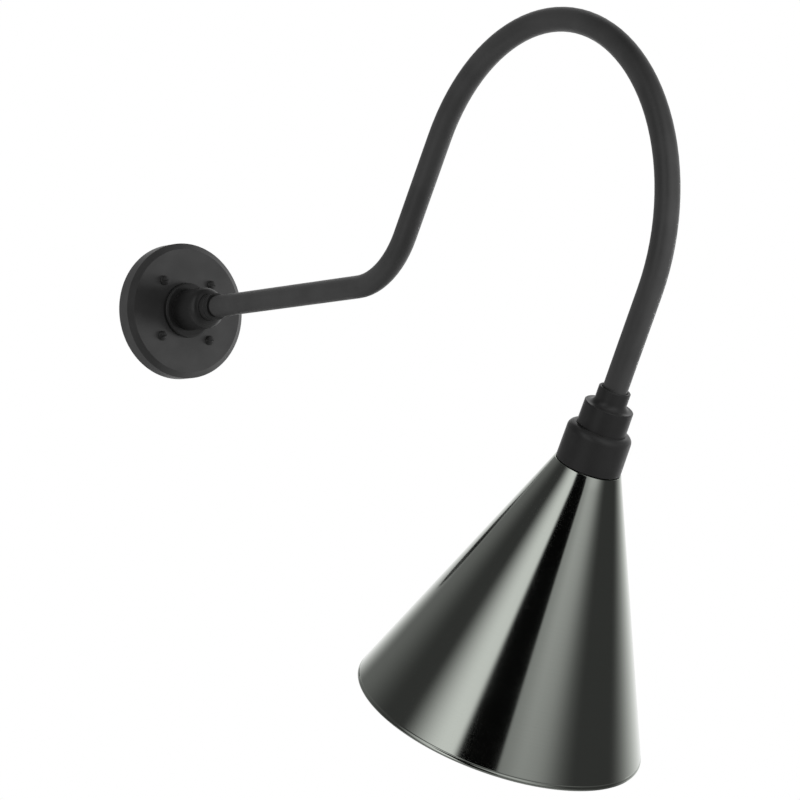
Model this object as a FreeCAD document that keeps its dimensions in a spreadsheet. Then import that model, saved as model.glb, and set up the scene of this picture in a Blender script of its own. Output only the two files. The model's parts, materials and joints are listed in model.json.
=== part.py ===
"""Gooseneck wall sconce: a round canopy on the wall, a bent arm, a socket cap and cup, and a cone shade.

Frame, in millimetres: the wall is the plane Y = 0, the light stands out from it along -Y, and +Z is up.
The origin is on the wall at the centre of the canopy. The arm lies in the plane X = 0.

Pieces on the wall are drawn about an axis that leaves the wall at its centre, and their heights are distances
from the wall. Pieces at the lamp are drawn about the shade's axis, and their heights are distances from the top
of the socket cap, where the arm goes in.
"""

import FreeCAD, Part
import math
import os
import re

import Sketcher
from FreeCAD import Placement, Rotation, Vector

doc = FreeCAD.newDocument("gooseneck_wall_sconce")


# Driving dimensions ---------------------------------------------------------------------------------------------

SIZES = [
    # canopy on the wall
    ("canopy_radius", 60.3, "outside of the round canopy"),
    ("canopy_depth", 16.9, "wall to the canopy's front face"),
    ("canopy_wall", 3.0, "thickness of the canopy's side"),
    ("canopy_face", 3.5, "thickness of the canopy's front"),
    ("bevel_width", 5.2, "bevel round the front, across"),
    ("bevel_depth", 3.4, "bevel round the front, along"),
    ("screw_circle", 69.85, "diameter of the circle through the canopy screws"),
    ("screw_count", 4, "canopy screws"),
    ("screw_radius", 2.05, "shank of a canopy screw"),
    ("screw_head_radius", 4.3, "head of a canopy screw"),
    ("screw_head_height", 2.9, "height of a canopy screw's round head"),
    ("screw_slot_width", 1.1, "slot in a screw head, across"),
    ("screw_slot_depth", 1.3, "slot in a screw head, deep"),
    ("boss_wall", 2.4, "wall of the canopy's bosses round the screws"),
    # bracket behind the canopy
    ("bracket_radius", 54.0, "steel bracket on the junction box"),
    ("bracket_thick", 2.5, "thickness of the bracket"),
    ("box_screw_spread", 79.375, "between the middles of the two slots for the box's screws"),
    ("box_slot_length", 14.7, "end to end of a slot"),
    ("box_slot_width", 5.2, "width of a slot"),
    ("wire_hole_radius", 16.0, "hole in the bracket for the house wires"),
    ("earth_screw_out", 30.0, "earth screw below the centre of the bracket"),
    ("earth_screw_radius", 2.05, "shank of the earth screw"),
    ("earth_head_radius", 4.4, "head of the earth screw"),
    ("earth_head_height", 2.6, "height of the earth screw's head"),
    # hub, cast with a bead at its foot and a rounded shoulder
    ("bead_radius", 2.25, "half-round bead at the hub's foot"),
    ("hub_foot_radius", 24.4, "outside of the bead"),
    ("hub_radius", 18.3, "barrel of the hub"),
    ("hub_barrel", 29.6, "canopy face to the start of the shoulder"),
    ("hub_shoulder", 8.2, "length of the rounded shoulder"),
    ("hub_neck_radius", 12.0, "neck in front of the shoulder"),
    ("hub_neck", 6.4, "length of the neck"),
    ("hub_socket_depth", 34.0, "how far the arm goes into the hub"),
    ("hub_wire_bore", 7.2, "radius of the wire hole behind the arm"),
    ("shank_radius", 11.0, "threaded shank through the canopy"),
    ("washer_thick", 1.2, "spring washer behind the canopy"),
    ("washer_radius", 15.6, "outside of the spring washer"),
    ("washer_gap", 1.5, "split in the spring washer"),
    ("shank_nut_radius", 16.8, "locknut on the shank, across its corners, halved"),
    ("shank_nut_height", 3.6, "height of the locknut"),
    ("collar_radius", 11.8, "lock ring on the arm in front of the hub"),
    ("collar_length", 5.4, "length of the lock ring"),
    ("edge_break", 0.5, "small chamfer on turned edges"),
    # arm
    ("tube_radius", 9.525, "outside of the arm"),
    ("tube_wall", 1.65, "wall of the arm"),
    ("first_straight", 280.0, "wall to the start of the first bend"),
    ("first_bend_radius", 73.0, "first bend, at the arm's centre line"),
    ("first_bend_angle", 60.0, "turn of the first bend, in degrees"),
    ("second_straight", 87.0, "straight between the two bends"),
    ("crook_radius", 150.0, "the long bend over the top"),
    ("crook_angle", 178.0, "turn of the long bend, in degrees"),
    ("drop", 78.5, "straight from the long bend to the socket cap"),
    # socket cap
    ("cap_neck_radius", 12.3, "neck of the cap round the arm"),
    ("cap_neck", 8.9, "length of the straight neck"),
    ("flare_radius", 18.9, "lip of the flare"),
    ("flare_length", 4.6, "length of the hollow flare"),
    ("lip_thick", 0.5, "edge of the lip"),
    ("neck_sink", 0.9, "countersink in the top of the neck"),
    ("cap_radius", 19.1, "foot of the cap, where it meets the cup"),
    ("cap_length", 32.0, "top of the neck to the foot of the cap"),
    ("cap_socket_depth", 14.0, "how far the arm goes into the cap"),
    ("cap_web", 5.0, "floor of the cap, which holds the threaded stem"),
    ("stem_radius", 5.0, "threaded stem that holds cap, cup and socket together"),
    ("stem_bore", 3.9, "wire hole in the stem"),
    ("stem_end_play", 0.6, "stem past each end of its thread"),
    # socket cup
    ("cup_shoulder", 5.2, "radius of the cup's rounded shoulder"),
    ("cup_top_radius", 25.0, "cup below its shoulder"),
    ("cup_foot_radius", 25.3, "cup at its open end"),
    ("cup_length", 30.3, "length of the cup"),
    ("cup_wall", 1.8, "wall of the cup"),
    ("cup_top", 2.4, "top of the cup"),
    ("stem_nut_radius", 8.0, "nuts on the stem, across their corners, halved"),
    ("stem_nut_height", 3.0, "height of a nut on the stem"),
    ("strap_thick", 1.5, "steel strap that carries the porcelain"),
    ("strap_width", 12.0, "width of the strap"),
    # porcelain socket
    ("porcelain_radius", 20.0, "outside of the porcelain"),
    ("porcelain_length", 38.9, "length of the porcelain"),
    ("recess_radius", 14.0, "recess in the back of the porcelain"),
    ("recess_depth", 9.0, "depth of the recess"),
    ("porcelain_floor", 3.8, "floor between the recess and the lamp's hole"),
    ("porcelain_bore", 14.1, "radius of the lamp's hole"),
    ("socket_screw_radius", 1.5, "long screws that hold the porcelain"),
    ("socket_screw_head", 2.6, "head radius of a long screw"),
    ("socket_screw_head_height", 1.6, "head height of a long screw"),
    ("socket_screw_sunk", 2.2, "counterbore for the head"),
    ("shell_thick", 0.5, "metal of the screw shell"),
    ("shell_lift", 2.2, "screw shell above the porcelain's floor"),
    ("shell_length", 22.0, "length of the screw shell"),
    ("rivet_out", 9.5, "rivets, from the socket's axis"),
    ("rivet_radius", 1.4, "shank of a rivet"),
    ("rivet_head_radius", 2.3, "head of a rivet"),
    ("rivet_head_height", 0.9, "height of a rivet's head"),
    ("strip_thick", 0.6, "metal of the centre contact"),
    ("strip_width", 5.0, "width of the centre contact"),
    ("contact_rise", 3.0, "how far the centre contact springs up"),
    # shade
    ("shade_gap", 0.3, "dark joint between the cup and the shade"),
    ("shade_top_radius", 26.0, "top of the cone"),
    ("shade_rim_radius", 114.3, "rim of the cone"),
    ("shade_length", 213.5, "length of the cone along its axis"),
    ("shade_wall", 1.2, "metal of the shade"),
    ("rim_roll", 1.5, "radius of the edge that is rolled in at the rim"),
    ("shade_ring_radius", 22.6, "threaded ring that holds the shade"),
    ("shade_ring_height", 4.0, "height of the ring"),
    # wires
    ("lead_radius", 1.2, "an insulated lead"),
    ("lead_spacing", 3.0, "between the middles of two leads"),
    ("lead_bend", 2.4, "bends of the leads at the socket"),
    ("wall_bend", 4.0, "bends of the leads behind the hub"),
    ("connector_radius", 4.2, "open end of a wire connector"),
    ("connector_tip_radius", 3.0, "closed end of a wire connector"),
    ("connector_length", 15.0, "length of a wire connector"),
    ("connector_wall", 0.9, "wall of a wire connector"),
    ("connector_out", 19.5, "open end of a wire connector, from the centre"),
    ("terminal_thick", 0.8, "metal of a ring terminal"),
    ("terminal_barrel_length", 5.0, "crimped barrel of a ring terminal"),
    # lamp
    ("lamp_radius", 30.0, "widest part of the bulb"),
    ("lamp_neck_radius", 13.3, "neck of the bulb"),
    ("lamp_base_radius", 13.0, "screw base of the lamp"),
    ("lamp_base_length", 20.0, "length of the screw base"),
    ("lamp_length", 107.0, "tip of the contact to the crown of the bulb"),
    ("glass_wall", 0.8, "glass of the bulb"),
    ("base_wall", 0.5, "metal of the screw base"),
    ("lamp_tip_radius", 4.4, "centre contact of the lamp"),
    ("lamp_tip_height", 1.3, "height of the lamp's centre contact"),
    ("insulator_height", 3.4, "glass insulator under the base"),
    ("filament_rise", 52.0, "filament above the top of the screw base"),
    ("filament_span", 22.0, "width of the filament"),
    ("filament_wire", 0.45, "radius of the filament's coil and its wires"),
    # clearances
    ("hole_play", 0.25, "radial play of a screw in a plain hole"),
    ("thread_play", 0.05, "radial play in a thread or a seat"),
    ("lamp_play", 0.3, "play round the lamp's base and under its contact"),
    ("wire_play", 0.3, "play of a lead in its hole"),
]

sheet = doc.addObject("Spreadsheet::Sheet", "Sizes")
for row, (alias, number, meaning) in enumerate(SIZES, start=1):
    sheet.set(f"A{row}", meaning)
    sheet.set(f"B{row}", str(number))
    sheet.setAlias(f"B{row}", alias)
doc.recompute()

ALIASES = {alias for alias, number, meaning in SIZES}


def tied(expression):
    """The expression with the sheet's name put before each size, as another object must write it."""
    return re.sub(
        r"[a-z][a-z_]*",
        lambda word: "Sizes." + word.group(0) if word.group(0) in ALIASES else word.group(0),
        expression,
    )


def size(expression):
    """Millimetres, or degrees, that an expression in the sheet's names gives."""
    return float(sheet.evalExpression(expression))


# Stations along the two axes, worked out from the sheet ----------------------------------------------------------

FACE_BACK = "(canopy_depth - canopy_face)"
SHOULDER_START = "(canopy_depth + hub_barrel)"
NECK_START = f"({SHOULDER_START} + hub_shoulder)"
HUB_FRONT = f"({NECK_START} + hub_neck)"
TUBE_START = f"({HUB_FRONT} - hub_socket_depth)"
WASHER_BACK = f"({FACE_BACK} - washer_thick)"
SHANK_NUT_BACK = f"({WASHER_BACK} - shank_nut_height)"
BORE_RADIUS = "(tube_radius + thread_play)"
EARTH_HEAD_BACK = "(bracket_thick + terminal_thick)"
EARTH_RUN = "(bracket_thick + terminal_thick + lead_radius + wire_play)"
LEAD_RUN = "(bracket_thick + connector_radius + wire_play)"

FLARE_END = "(cap_neck + flare_length)"
CUP_TOP_BACK = "(cap_length + cup_top)"
CUP_END = "(cap_length + cup_length)"
STRAP_TOP = f"({CUP_TOP_BACK} + stem_nut_height)"
STRAP_BACK = f"({STRAP_TOP} + strap_thick)"
LOWER_NUT_TOP = f"({STRAP_BACK} + terminal_thick)"
STEM_END = f"({LOWER_NUT_TOP} + stem_nut_height + stem_end_play)"
RECESS_FLOOR = f"({STRAP_BACK} + recess_depth)"
LAMP_FLOOR = f"({RECESS_FLOOR} + porcelain_floor)"
PORCELAIN_END = f"({STRAP_BACK} + porcelain_length)"
LEAD_TURN = f"({RECESS_FLOOR} - rivet_head_height - thread_play - lead_radius - lead_bend)"
BARREL_OUT = "(stem_nut_radius + lead_radius + wire_play)"
SCREW_OUT = "((porcelain_radius + porcelain_bore) / 2)"
SHELL_RADIUS = "(lamp_base_radius + lamp_play)"
SHADE_TOP = f"({CUP_END} + shade_gap)"
SHADE_END = f"({SHADE_TOP} + shade_length)"
CONTACT_TOP = f"({LAMP_FLOOR} + contact_rise + strip_thick)"
LAMP_TIP = f"({CONTACT_TOP} + lamp_play)"
LAMP_CROWN = f"({LAMP_TIP} + lamp_length)"
INSULATOR_START = f"({LAMP_TIP} + lamp_tip_height)"
BASE_START = f"({INSULATOR_START} + insulator_height)"
BASE_END = f"({BASE_START} + lamp_base_length)"

# the arm's end, worked out along its straights and bends
route = doc.addObject("App::VarSet", "Route")
ROUTE = [
    ("heading", "first_bend_angle - crook_angle"),
    (
        "out",
        "first_straight + (first_bend_radius + crook_radius) * sin(first_bend_angle)"
        " + second_straight * cos(first_bend_angle) - crook_radius * sin(first_bend_angle - crook_angle)"
        " + drop * cos(first_bend_angle - crook_angle)",
    ),
    (
        "up",
        "first_bend_radius - (first_bend_radius + crook_radius) * cos(first_bend_angle)"
        " + second_straight * sin(first_bend_angle) + crook_radius * cos(first_bend_angle - crook_angle)"
        " + drop * sin(first_bend_angle - crook_angle)",
    ),
]
for name, expression in ROUTE:
    route.addProperty("App::PropertyFloat", name)
    route.setExpression(name, tied(expression))
doc.recompute()


# Helpers ---------------------------------------------------------------------------------------------------------

pieces = {}


def on_wall(piece):
    """Stands a piece on the axis that leaves the wall: its own Z axis points out from the wall."""
    piece.Placement = Placement(Vector(0, 0, 0), Rotation(Vector(1, 0, 0), 90))


def at_lamp(piece):
    """Stands a piece on the shade's axis: its own Z axis points out of the shade."""
    piece.setExpression(
        "Placement",
        "placement(vector(0; -Route.out; Route.up); rotation(vector(1; 0; 0); 90 - Route.heading))",
    )


def in_frame(piece):
    """Leaves a piece in the part's own frame."""
    piece.Placement = Placement()


def keep(label, piece, stand):
    """Names a finished piece and stands it in its place."""
    piece.Label = label
    stand(piece)
    pieces[label] = piece
    return piece


def new_body(label):
    body = doc.addObject("PartDesign::Body", label + "_body")
    body.AllowCompound = True
    return body


def sketch_on(body, role, name, height="0"):
    """A sketch on one of the body's own origin planes, at a height above it."""
    sketch = body.newObject("Sketcher::SketchObject", name)
    plane = next(face for face in body.Origin.OriginFeatures if face.Role == role)
    sketch.AttachmentSupport = [(plane, "")]
    sketch.MapMode = "FlatFace"
    if height != "0":
        sketch.setExpression("AttachmentOffset.Base.z", tied(height))
    return sketch


def pin(sketch, geometry, point, across, along):
    """Ties one point of a sketch to the sheet, across and along."""
    for kind, axis, expression in (("DistanceX", -2, across), ("DistanceY", -1, along)):
        if expression == "0":
            sketch.addConstraint(Sketcher.Constraint("PointOnObject", geometry, point, axis))
        else:
            index = sketch.addConstraint(
                Sketcher.Constraint(kind, -1, 1, geometry, point, size(expression))
            )
            sketch.setExpression(f"Constraints[{index}]", tied(expression))


def arc_between(start, end, radius, side):
    """The shorter arc from start to end that bulges to the left or the right, and its two point numbers."""
    chord = end - start
    left = Vector(-chord.y, chord.x, 0).normalize()
    bulge = left if side == "left" else -left
    middle = (start + end) * 0.5
    reach = math.sqrt(max(radius**2 - (chord.Length / 2) ** 2, 0.0))
    centre = middle - bulge * reach
    begin = math.atan2(start.y - centre.y, start.x - centre.x)
    finish = math.atan2(end.y - centre.y, end.x - centre.x)
    circle = Part.Circle(centre, Vector(0, 0, 1), radius)
    if side == "left":
        return Part.ArcOfCircle(circle, finish, begin), 2, 1
    return Part.ArcOfCircle(circle, begin, finish), 1, 2


def outline(sketch, corners):
    """A closed outline whose corners are tied to the sheet.

    A corner is (across, along). With a radius and a side after them, the edge to the next corner is an arc of
    that radius that bulges to that side.
    """
    spots = [Vector(size(corner[0]), size(corner[1]), 0) for corner in corners]
    ends = []
    first = sketch.GeometryCount
    for number, corner in enumerate(corners):
        start, end = spots[number], spots[(number + 1) % len(spots)]
        if len(corner) == 2:
            sketch.addGeometry(Part.LineSegment(start, end), False)
            ends.append((1, 2))
        else:
            arc, begin, finish = arc_between(start, end, size(corner[2]), corner[3])
            sketch.addGeometry(arc, False)
            ends.append((begin, finish))
    for number, corner in enumerate(corners):
        after = (number + 1) % len(corners)
        sketch.addConstraint(
            Sketcher.Constraint(
                "Coincident", first + number, ends[number][1], first + after, ends[after][0]
            )
        )
        pin(sketch, first + number, ends[number][0], corner[0], corner[1])
        if len(corner) == 2:
            continue
        if abs((spots[after] - spots[number]).Length - 2 * size(corner[2])) < 0.001:
            # a half circle on an upright chord: its centre lies on the chord
            sketch.addConstraint(
                Sketcher.Constraint("Vertical", first + number, ends[number][0], first + number, 3)
            )
        else:
            index = sketch.addConstraint(
                Sketcher.Constraint("Radius", first + number, size(corner[2]))
            )
            sketch.setExpression(f"Constraints[{index}]", tied(corner[2]))


def circle(sketch, radius, across="0", along="0"):
    """A circle whose radius and centre are tied to the sheet."""
    centre = Vector(size(across), size(along), 0)
    number = sketch.addGeometry(Part.Circle(centre, Vector(0, 0, 1), size(radius)), False)
    index = sketch.addConstraint(Sketcher.Constraint("Radius", number, size(radius)))
    sketch.setExpression(f"Constraints[{index}]", tied(radius))
    pin(sketch, number, 3, across, along)


def slot(sketch, radius, half_run, across):
    """A slot along the sketch's X axis: two half circles and two straights."""
    left, right = f"({across}) - ({half_run})", f"({across}) + ({half_run})"
    outline(
        sketch,
        [
            (left, f"-({radius})"),
            (right, f"-({radius})", radius, "right"),
            (right, radius),
            (left, radius, radius, "right"),
        ],
    )


def turned(label, corners):
    """A body turned about its own Z axis from an outline in its XZ plane."""
    body = new_body(label)
    sketch = sketch_on(body, "XZ_Plane", label + "_outline")
    outline(sketch, corners)
    turn = body.newObject("PartDesign::Revolution", label + "_turning")
    turn.Profile = sketch
    turn.ReferenceAxis = (sketch, ["V_Axis"])
    turn.Angle = 360
    doc.recompute()
    return body


def pad(body, name, draw, height, length):
    """Adds what draw(sketch) draws, from a height along the body's Z axis."""
    sketch = sketch_on(body, "XY_Plane", name + "_sketch", height)
    draw(sketch)
    feature = body.newObject("PartDesign::Pad", name)
    feature.Profile = sketch
    feature.setExpression("Length", tied(length))
    doc.recompute()
    return feature


def pocket(body, name, draw, height, depth):
    """Cuts what draw(sketch) draws, from a height towards larger Z, and makes sure that it cut."""
    before = body.Shape.Volume
    sketch = sketch_on(body, "XY_Plane", name + "_sketch", height)
    draw(sketch)
    feature = body.newObject("PartDesign::Pocket", name)
    feature.Profile = sketch
    feature.Reversed = True
    feature.setExpression("Length", tied(depth))
    doc.recompute()
    if body.Shape.Volume >= before:
        raise RuntimeError(name + " cuts nothing")
    return feature


def around(body, name, feature, count):
    """Repeats a feature round the body's Z axis."""
    pattern = body.newObject("PartDesign::PolarPattern", name)
    pattern.Originals = [feature]
    pattern.Axis = (feature.Profile[0], ["N_Axis"])
    pattern.Angle = 360
    pattern.setExpression("Occurrences", tied(count))
    body.Tip = pattern
    doc.recompute()
    return pattern


def hex_nut(label, corner_radius, bore, bottom, height):
    """A six-sided nut on its own Z axis, with a plain bore for its thread."""
    prism = doc.addObject("Part::Prism", label + "_prism")
    prism.Polygon = 6
    prism.setExpression("Circumradius", tied(corner_radius))
    prism.setExpression("Height", tied(height))
    prism.setExpression("Placement.Base.z", tied(bottom))
    hole = doc.addObject("Part::Cylinder", label + "_bore")
    hole.setExpression("Radius", tied(bore))
    hole.setExpression("Height", tied(height))
    hole.setExpression("Placement.Base.z", tied(bottom))
    nut = doc.addObject("Part::Cut", label + "_nut")
    nut.Base = prism
    nut.Tool = hole
    doc.recompute()
    return nut


def copies(label, source, stand, places):
    """One node of separate solids: the source's shape once in each place."""
    solids = []
    for place in places:
        solid = source.Shape.copy()
        solid.Placement = place.multiply(solid.Placement)
        solids.append(solid)
    group = doc.addObject("Part::Feature", label + "_group")
    group.Shape = Part.Compound(solids)
    return keep(label, group, stand)


def follow(start, heading, moves):
    """The wire of a route: straights, given as a length, and tangent arcs, as (radius, degrees, axis)."""
    here, ahead = Vector(start), Vector(heading)
    edges = []
    for move in moves:
        if isinstance(move, tuple):
            radius, degrees, axis = move
            centre = here + axis.cross(ahead) * radius
            halfway = centre + Rotation(axis, degrees / 2).multVec(here - centre)
            there = centre + Rotation(axis, degrees).multVec(here - centre)
            edges.append(Part.Arc(here, halfway, there).toShape())
            ahead = Rotation(axis, degrees).multVec(ahead)
        else:
            there = here + ahead * move
            edges.append(Part.LineSegment(here, there).toShape())
        here = there
    return Part.Wire(edges)


def swept(label, path, radius, heading):
    """A round wire of one radius along a path."""
    section = Part.Wire([Part.Circle(path.OrderedVertexes[0].Point, heading, radius).toShape()])
    pipe = path.makePipeShell([section], True, False)
    share = pipe.Volume / (math.pi * radius**2 * path.Length)
    if abs(share - 1) > 0.01:
        raise RuntimeError(f"{label} has {share:.3f} of the volume of its section times its length")
    wire = doc.addObject("Part::Feature", label + "_run")
    wire.Shape = pipe
    return keep(label, wire, in_frame)


# Canopy and bracket ----------------------------------------------------------------------------------------------

ACROSS_45 = "(screw_circle / 2 * cos(45))"


def at_screw(radius):
    return lambda sketch: circle(sketch, radius, ACROSS_45, ACROSS_45)


def make_canopy():
    """A hollow round cover with a bevelled front, four bosses for its screws and a hole for the hub."""
    body = turned(
        "canopy",
        [
            ("shank_radius + hole_play", FACE_BACK),
            ("shank_radius + hole_play", "canopy_depth"),
            ("canopy_radius - bevel_width", "canopy_depth"),
            ("canopy_radius", "canopy_depth - bevel_depth"),
            ("canopy_radius", "0"),
            ("canopy_radius - canopy_wall", "0"),
            ("canopy_radius - canopy_wall", "canopy_depth - canopy_face - bevel_depth"),
            ("canopy_radius - canopy_wall - bevel_width", FACE_BACK),
        ],
    )
    boss = pad(
        body,
        "canopy_boss",
        at_screw("screw_radius + hole_play + boss_wall"),
        "bracket_thick",
        "canopy_depth - canopy_face - bracket_thick",
    )
    around(body, "canopy_bosses", boss, "screw_count")
    hole = pocket(
        body,
        "canopy_hole",
        at_screw("screw_radius + hole_play"),
        "bracket_thick",
        "canopy_depth - bracket_thick",
    )
    around(body, "canopy_holes", hole, "screw_count")
    keep("canopy", body, on_wall)


def make_wall_bracket():
    """A steel disc on the junction box, tapped for the canopy screws and the earth screw."""
    body = new_body("wall_bracket")

    def plate(sketch):
        circle(sketch, "bracket_radius")
        circle(sketch, "wire_hole_radius")
        slot(sketch, "box_slot_width / 2", "(box_slot_length - box_slot_width) / 2", "box_screw_spread / 2")
        slot(sketch, "box_slot_width / 2", "(box_slot_length - box_slot_width) / 2", "-box_screw_spread / 2")
        circle(sketch, "earth_screw_radius + thread_play", "0", "-earth_screw_out")

    pad(body, "bracket_plate", plate, "0", "bracket_thick")
    hole = pocket(
        body, "bracket_tapping", at_screw("screw_radius + thread_play"), "0", "bracket_thick"
    )
    around(body, "bracket_tappings", hole, "screw_count")
    keep("wall_bracket", body, on_wall)


def make_slotted_screw(label, shank, head_radius, head_height, bottom, top):
    """A round-headed slotted screw on its own Z axis, its head above top and its point at bottom."""
    body = turned(
        label,
        [
            ("0", bottom),
            (f"{shank} - edge_break", bottom),
            (shank, f"{bottom} + edge_break"),
            (shank, top),
            (head_radius, top),
            (
                head_radius,
                f"{top} + {head_height} / 4",
                f"(({head_radius})^2 + ({head_height} * 3 / 4)^2) / (2 * {head_height} * 3 / 4)",
                "right",
            ),
            ("0", f"{top} + {head_height}"),
        ],
    )

    def driver_slot(sketch):
        reach = f"({head_radius} + 1)"
        half = "(screw_slot_width / 2)"
        outline(
            sketch,
            [(f"-{reach}", f"-{half}"), (reach, f"-{half}"), (reach, half), (f"-{reach}", half)],
        )

    pocket(
        body,
        label + "_slot",
        driver_slot,
        f"{top} + {head_height} - screw_slot_depth",
        "screw_slot_depth + 1",
    )
    return body


def make_canopy_screws():
    """Four screws through the canopy into the bracket, each turned to where it came tight."""
    screw = make_slotted_screw(
        "canopy_screw",
        "screw_radius",
        "screw_head_radius",
        "screw_head_height",
        "edge_break",
        "canopy_depth",
    )
    count = int(size("screw_count"))
    radius = size("screw_circle") / 2
    angles = [math.radians(45 + 360 * number / count) for number in range(count)]
    places = [
        Placement(
            Vector(radius * math.cos(angle), radius * math.sin(angle), 0),
            Rotation(Vector(0, 0, 1), (-4, 12, 20, 2)[number % 4]),
        )
        for number, angle in enumerate(angles)
    ]
    copies("canopy_screws", screw, on_wall, places)


def make_earth_parts():
    """The bracket's earth screw and the ring terminal that it clamps."""
    screw = make_slotted_screw(
        "earth_screw",
        "earth_screw_radius",
        "earth_head_radius",
        "earth_head_height",
        "edge_break",
        EARTH_HEAD_BACK,
    )
    down = Vector(0, -size("earth_screw_out"), 0)
    copies("earth_screw", screw, on_wall, [Placement(down, Rotation(Vector(0, 0, 1), 35))])
    terminal = make_ring_terminal()
    down.z = size("bracket_thick")
    copies("earth_terminal", terminal, on_wall, [Placement(down, Rotation())])


def make_ring_terminal():
    """A ring terminal flat on its own XY plane, with its crimped barrel towards +Y."""
    body = new_body("ring_terminal")
    start, end = "(earth_head_radius - 0.5)", "(earth_head_radius + terminal_barrel_length)"
    barrel = "(lead_radius + wire_play + terminal_thick)"
    half = "(lead_radius + wire_play)"

    def ring(sketch):
        circle(sketch, "earth_head_radius")
        circle(sketch, "earth_screw_radius + hole_play")

    def tongue(sketch):
        outline(sketch, [(f"-{half}", start), (half, start), (half, end), (f"-{half}", end)])

    pad(body, "terminal_ring", ring, "0", "terminal_thick")
    pad(body, "terminal_tongue", tongue, "0", "terminal_thick")
    sketch = sketch_on(body, "XZ_Plane", "terminal_barrel_sketch", f"-{end}")
    circle(sketch, barrel, "0", barrel)
    circle(sketch, "lead_radius + thread_play", "0", barrel)
    crimp = body.newObject("PartDesign::Pad", "terminal_barrel")
    crimp.Profile = sketch
    crimp.setExpression("Length", tied("terminal_barrel_length - hole_play"))
    doc.recompute()
    return body


def make_wire_connectors():
    """Two twist-on connectors, lying on the bracket to the left and the right of the hub."""
    body = turned(
        "wire_connector",
        [
            ("connector_radius - connector_wall", "0"),
            ("connector_radius", "0"),
            ("connector_tip_radius", "connector_length - edge_break"),
            ("connector_tip_radius - edge_break", "connector_length"),
            ("0", "connector_length"),
            ("0", "connector_length * 0.7"),
            ("lead_radius + thread_play", "connector_length * 0.7"),
            ("lead_radius + thread_play", "connector_length * 0.5"),
        ],
    )
    out, low, height = size("connector_out"), size(LEADS_LOW), size(LEAD_RUN)
    places = [
        Placement(Vector(side * out, low, height), Rotation(Vector(0, 1, 0), side * 90))
        for side in (1, -1)
    ]
    copies("wire_connectors", body, on_wall, places)


# Hub and arm -----------------------------------------------------------------------------------------------------


def make_hub():
    """A turned hub: a bead at its foot, a plain barrel, a rounded shoulder and a neck round the arm."""
    step = "(hub_radius - hub_neck_radius - edge_break)"
    shoulder = f"({step}^2 + hub_shoulder^2) / (2 * {step})"
    body = turned(
        "hub",
        [
            ("hub_wire_bore", SHANK_NUT_BACK),
            ("shank_radius", SHANK_NUT_BACK),
            ("shank_radius", "canopy_depth"),
            ("hub_foot_radius - bead_radius", "canopy_depth", "bead_radius", "right"),
            ("hub_foot_radius - bead_radius", "canopy_depth + 2 * bead_radius"),
            ("hub_radius", "canopy_depth + 2 * bead_radius"),
            ("hub_radius", SHOULDER_START, shoulder, "right"),
            ("hub_neck_radius + edge_break", NECK_START),
            ("hub_neck_radius", NECK_START),
            ("hub_neck_radius", f"{HUB_FRONT} - edge_break"),
            ("hub_neck_radius - edge_break", HUB_FRONT),
            (BORE_RADIUS, HUB_FRONT),
            (BORE_RADIUS, TUBE_START),
            ("hub_wire_bore", TUBE_START),
        ],
    )
    keep("hub", body, on_wall)


def make_hub_fasteners():
    """The spring washer and the locknut that hold the hub to the canopy from behind."""
    body = turned(
        "hub_washer",
        [
            ("shank_radius + hole_play", WASHER_BACK),
            ("washer_radius", WASHER_BACK),
            ("washer_radius", FACE_BACK),
            ("shank_radius + hole_play", FACE_BACK),
        ],
    )

    def split(sketch):
        half = "washer_gap / 2"
        outline(
            sketch,
            [
                ("0", f"-{half}"),
                ("washer_radius + 1", f"-{half}"),
                ("washer_radius + 1", half),
                ("0", half),
            ],
        )

    pocket(body, "hub_washer_split", split, WASHER_BACK, "washer_thick")
    keep("hub_washer", body, on_wall)
    nut = hex_nut(
        "hub_locknut",
        "shank_nut_radius",
        "shank_radius + thread_play",
        SHANK_NUT_BACK,
        "shank_nut_height",
    )
    keep("hub_locknut", nut, on_wall)


def make_arm_collar():
    """The lock ring on the arm, tight against the hub."""
    body = turned(
        "arm_collar",
        [
            (BORE_RADIUS, HUB_FRONT),
            ("collar_radius - edge_break", HUB_FRONT),
            ("collar_radius", f"{HUB_FRONT} + edge_break"),
            ("collar_radius", f"{HUB_FRONT} + collar_length - edge_break"),
            ("collar_radius - edge_break", f"{HUB_FRONT} + collar_length"),
            (BORE_RADIUS, f"{HUB_FRONT} + collar_length"),
        ],
    )
    keep("arm_collar", body, on_wall)


def arm_moves(offset, start, end):
    """The arm's straights and bends, for a line that runs beside its centre line, offset towards the top.

    The line starts at a distance from the wall and ends at a distance past the top of the socket cap.
    """
    return [
        size("first_straight") - start,
        (size("first_bend_radius") - offset, size("first_bend_angle"), Vector(-1, 0, 0)),
        size("second_straight"),
        (size("crook_radius") + offset, size("crook_angle"), Vector(1, 0, 0)),
        size("drop") + end,
    ]


def make_arm():
    """The bent tube: a sketch of its centre line, and a ring swept along it."""
    body = new_body("arm_tube")
    spine = sketch_on(body, "YZ_Plane", "arm_centre_line")
    start = size(TUBE_START)
    path = follow(
        Vector(0, -start, 0),
        Vector(0, -1, 0),
        arm_moves(0, start, size("cap_socket_depth")),
    )
    for edge in path.OrderedEdges:
        ends = [edge.valueAt(at) for at in (edge.FirstParameter, edge.LastParameter)]
        flat = [Vector(end.y, end.z, 0) for end in ends]
        if isinstance(edge.Curve, Part.Line):
            spine.addGeometry(Part.LineSegment(flat[0], flat[1]), False)
        else:
            spine.addGeometry(flat_arc(edge, flat), False)
    tie_arm(spine)
    ring = sketch_on(body, "XZ_Plane", "arm_section", TUBE_START)
    circle(ring, "tube_radius")
    circle(ring, "tube_radius - tube_wall")
    pipe = body.newObject("PartDesign::AdditivePipe", "arm_bending")
    pipe.Profile = ring
    pipe.Spine = spine
    doc.recompute()
    keep("arm_tube", body, in_frame)


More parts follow.
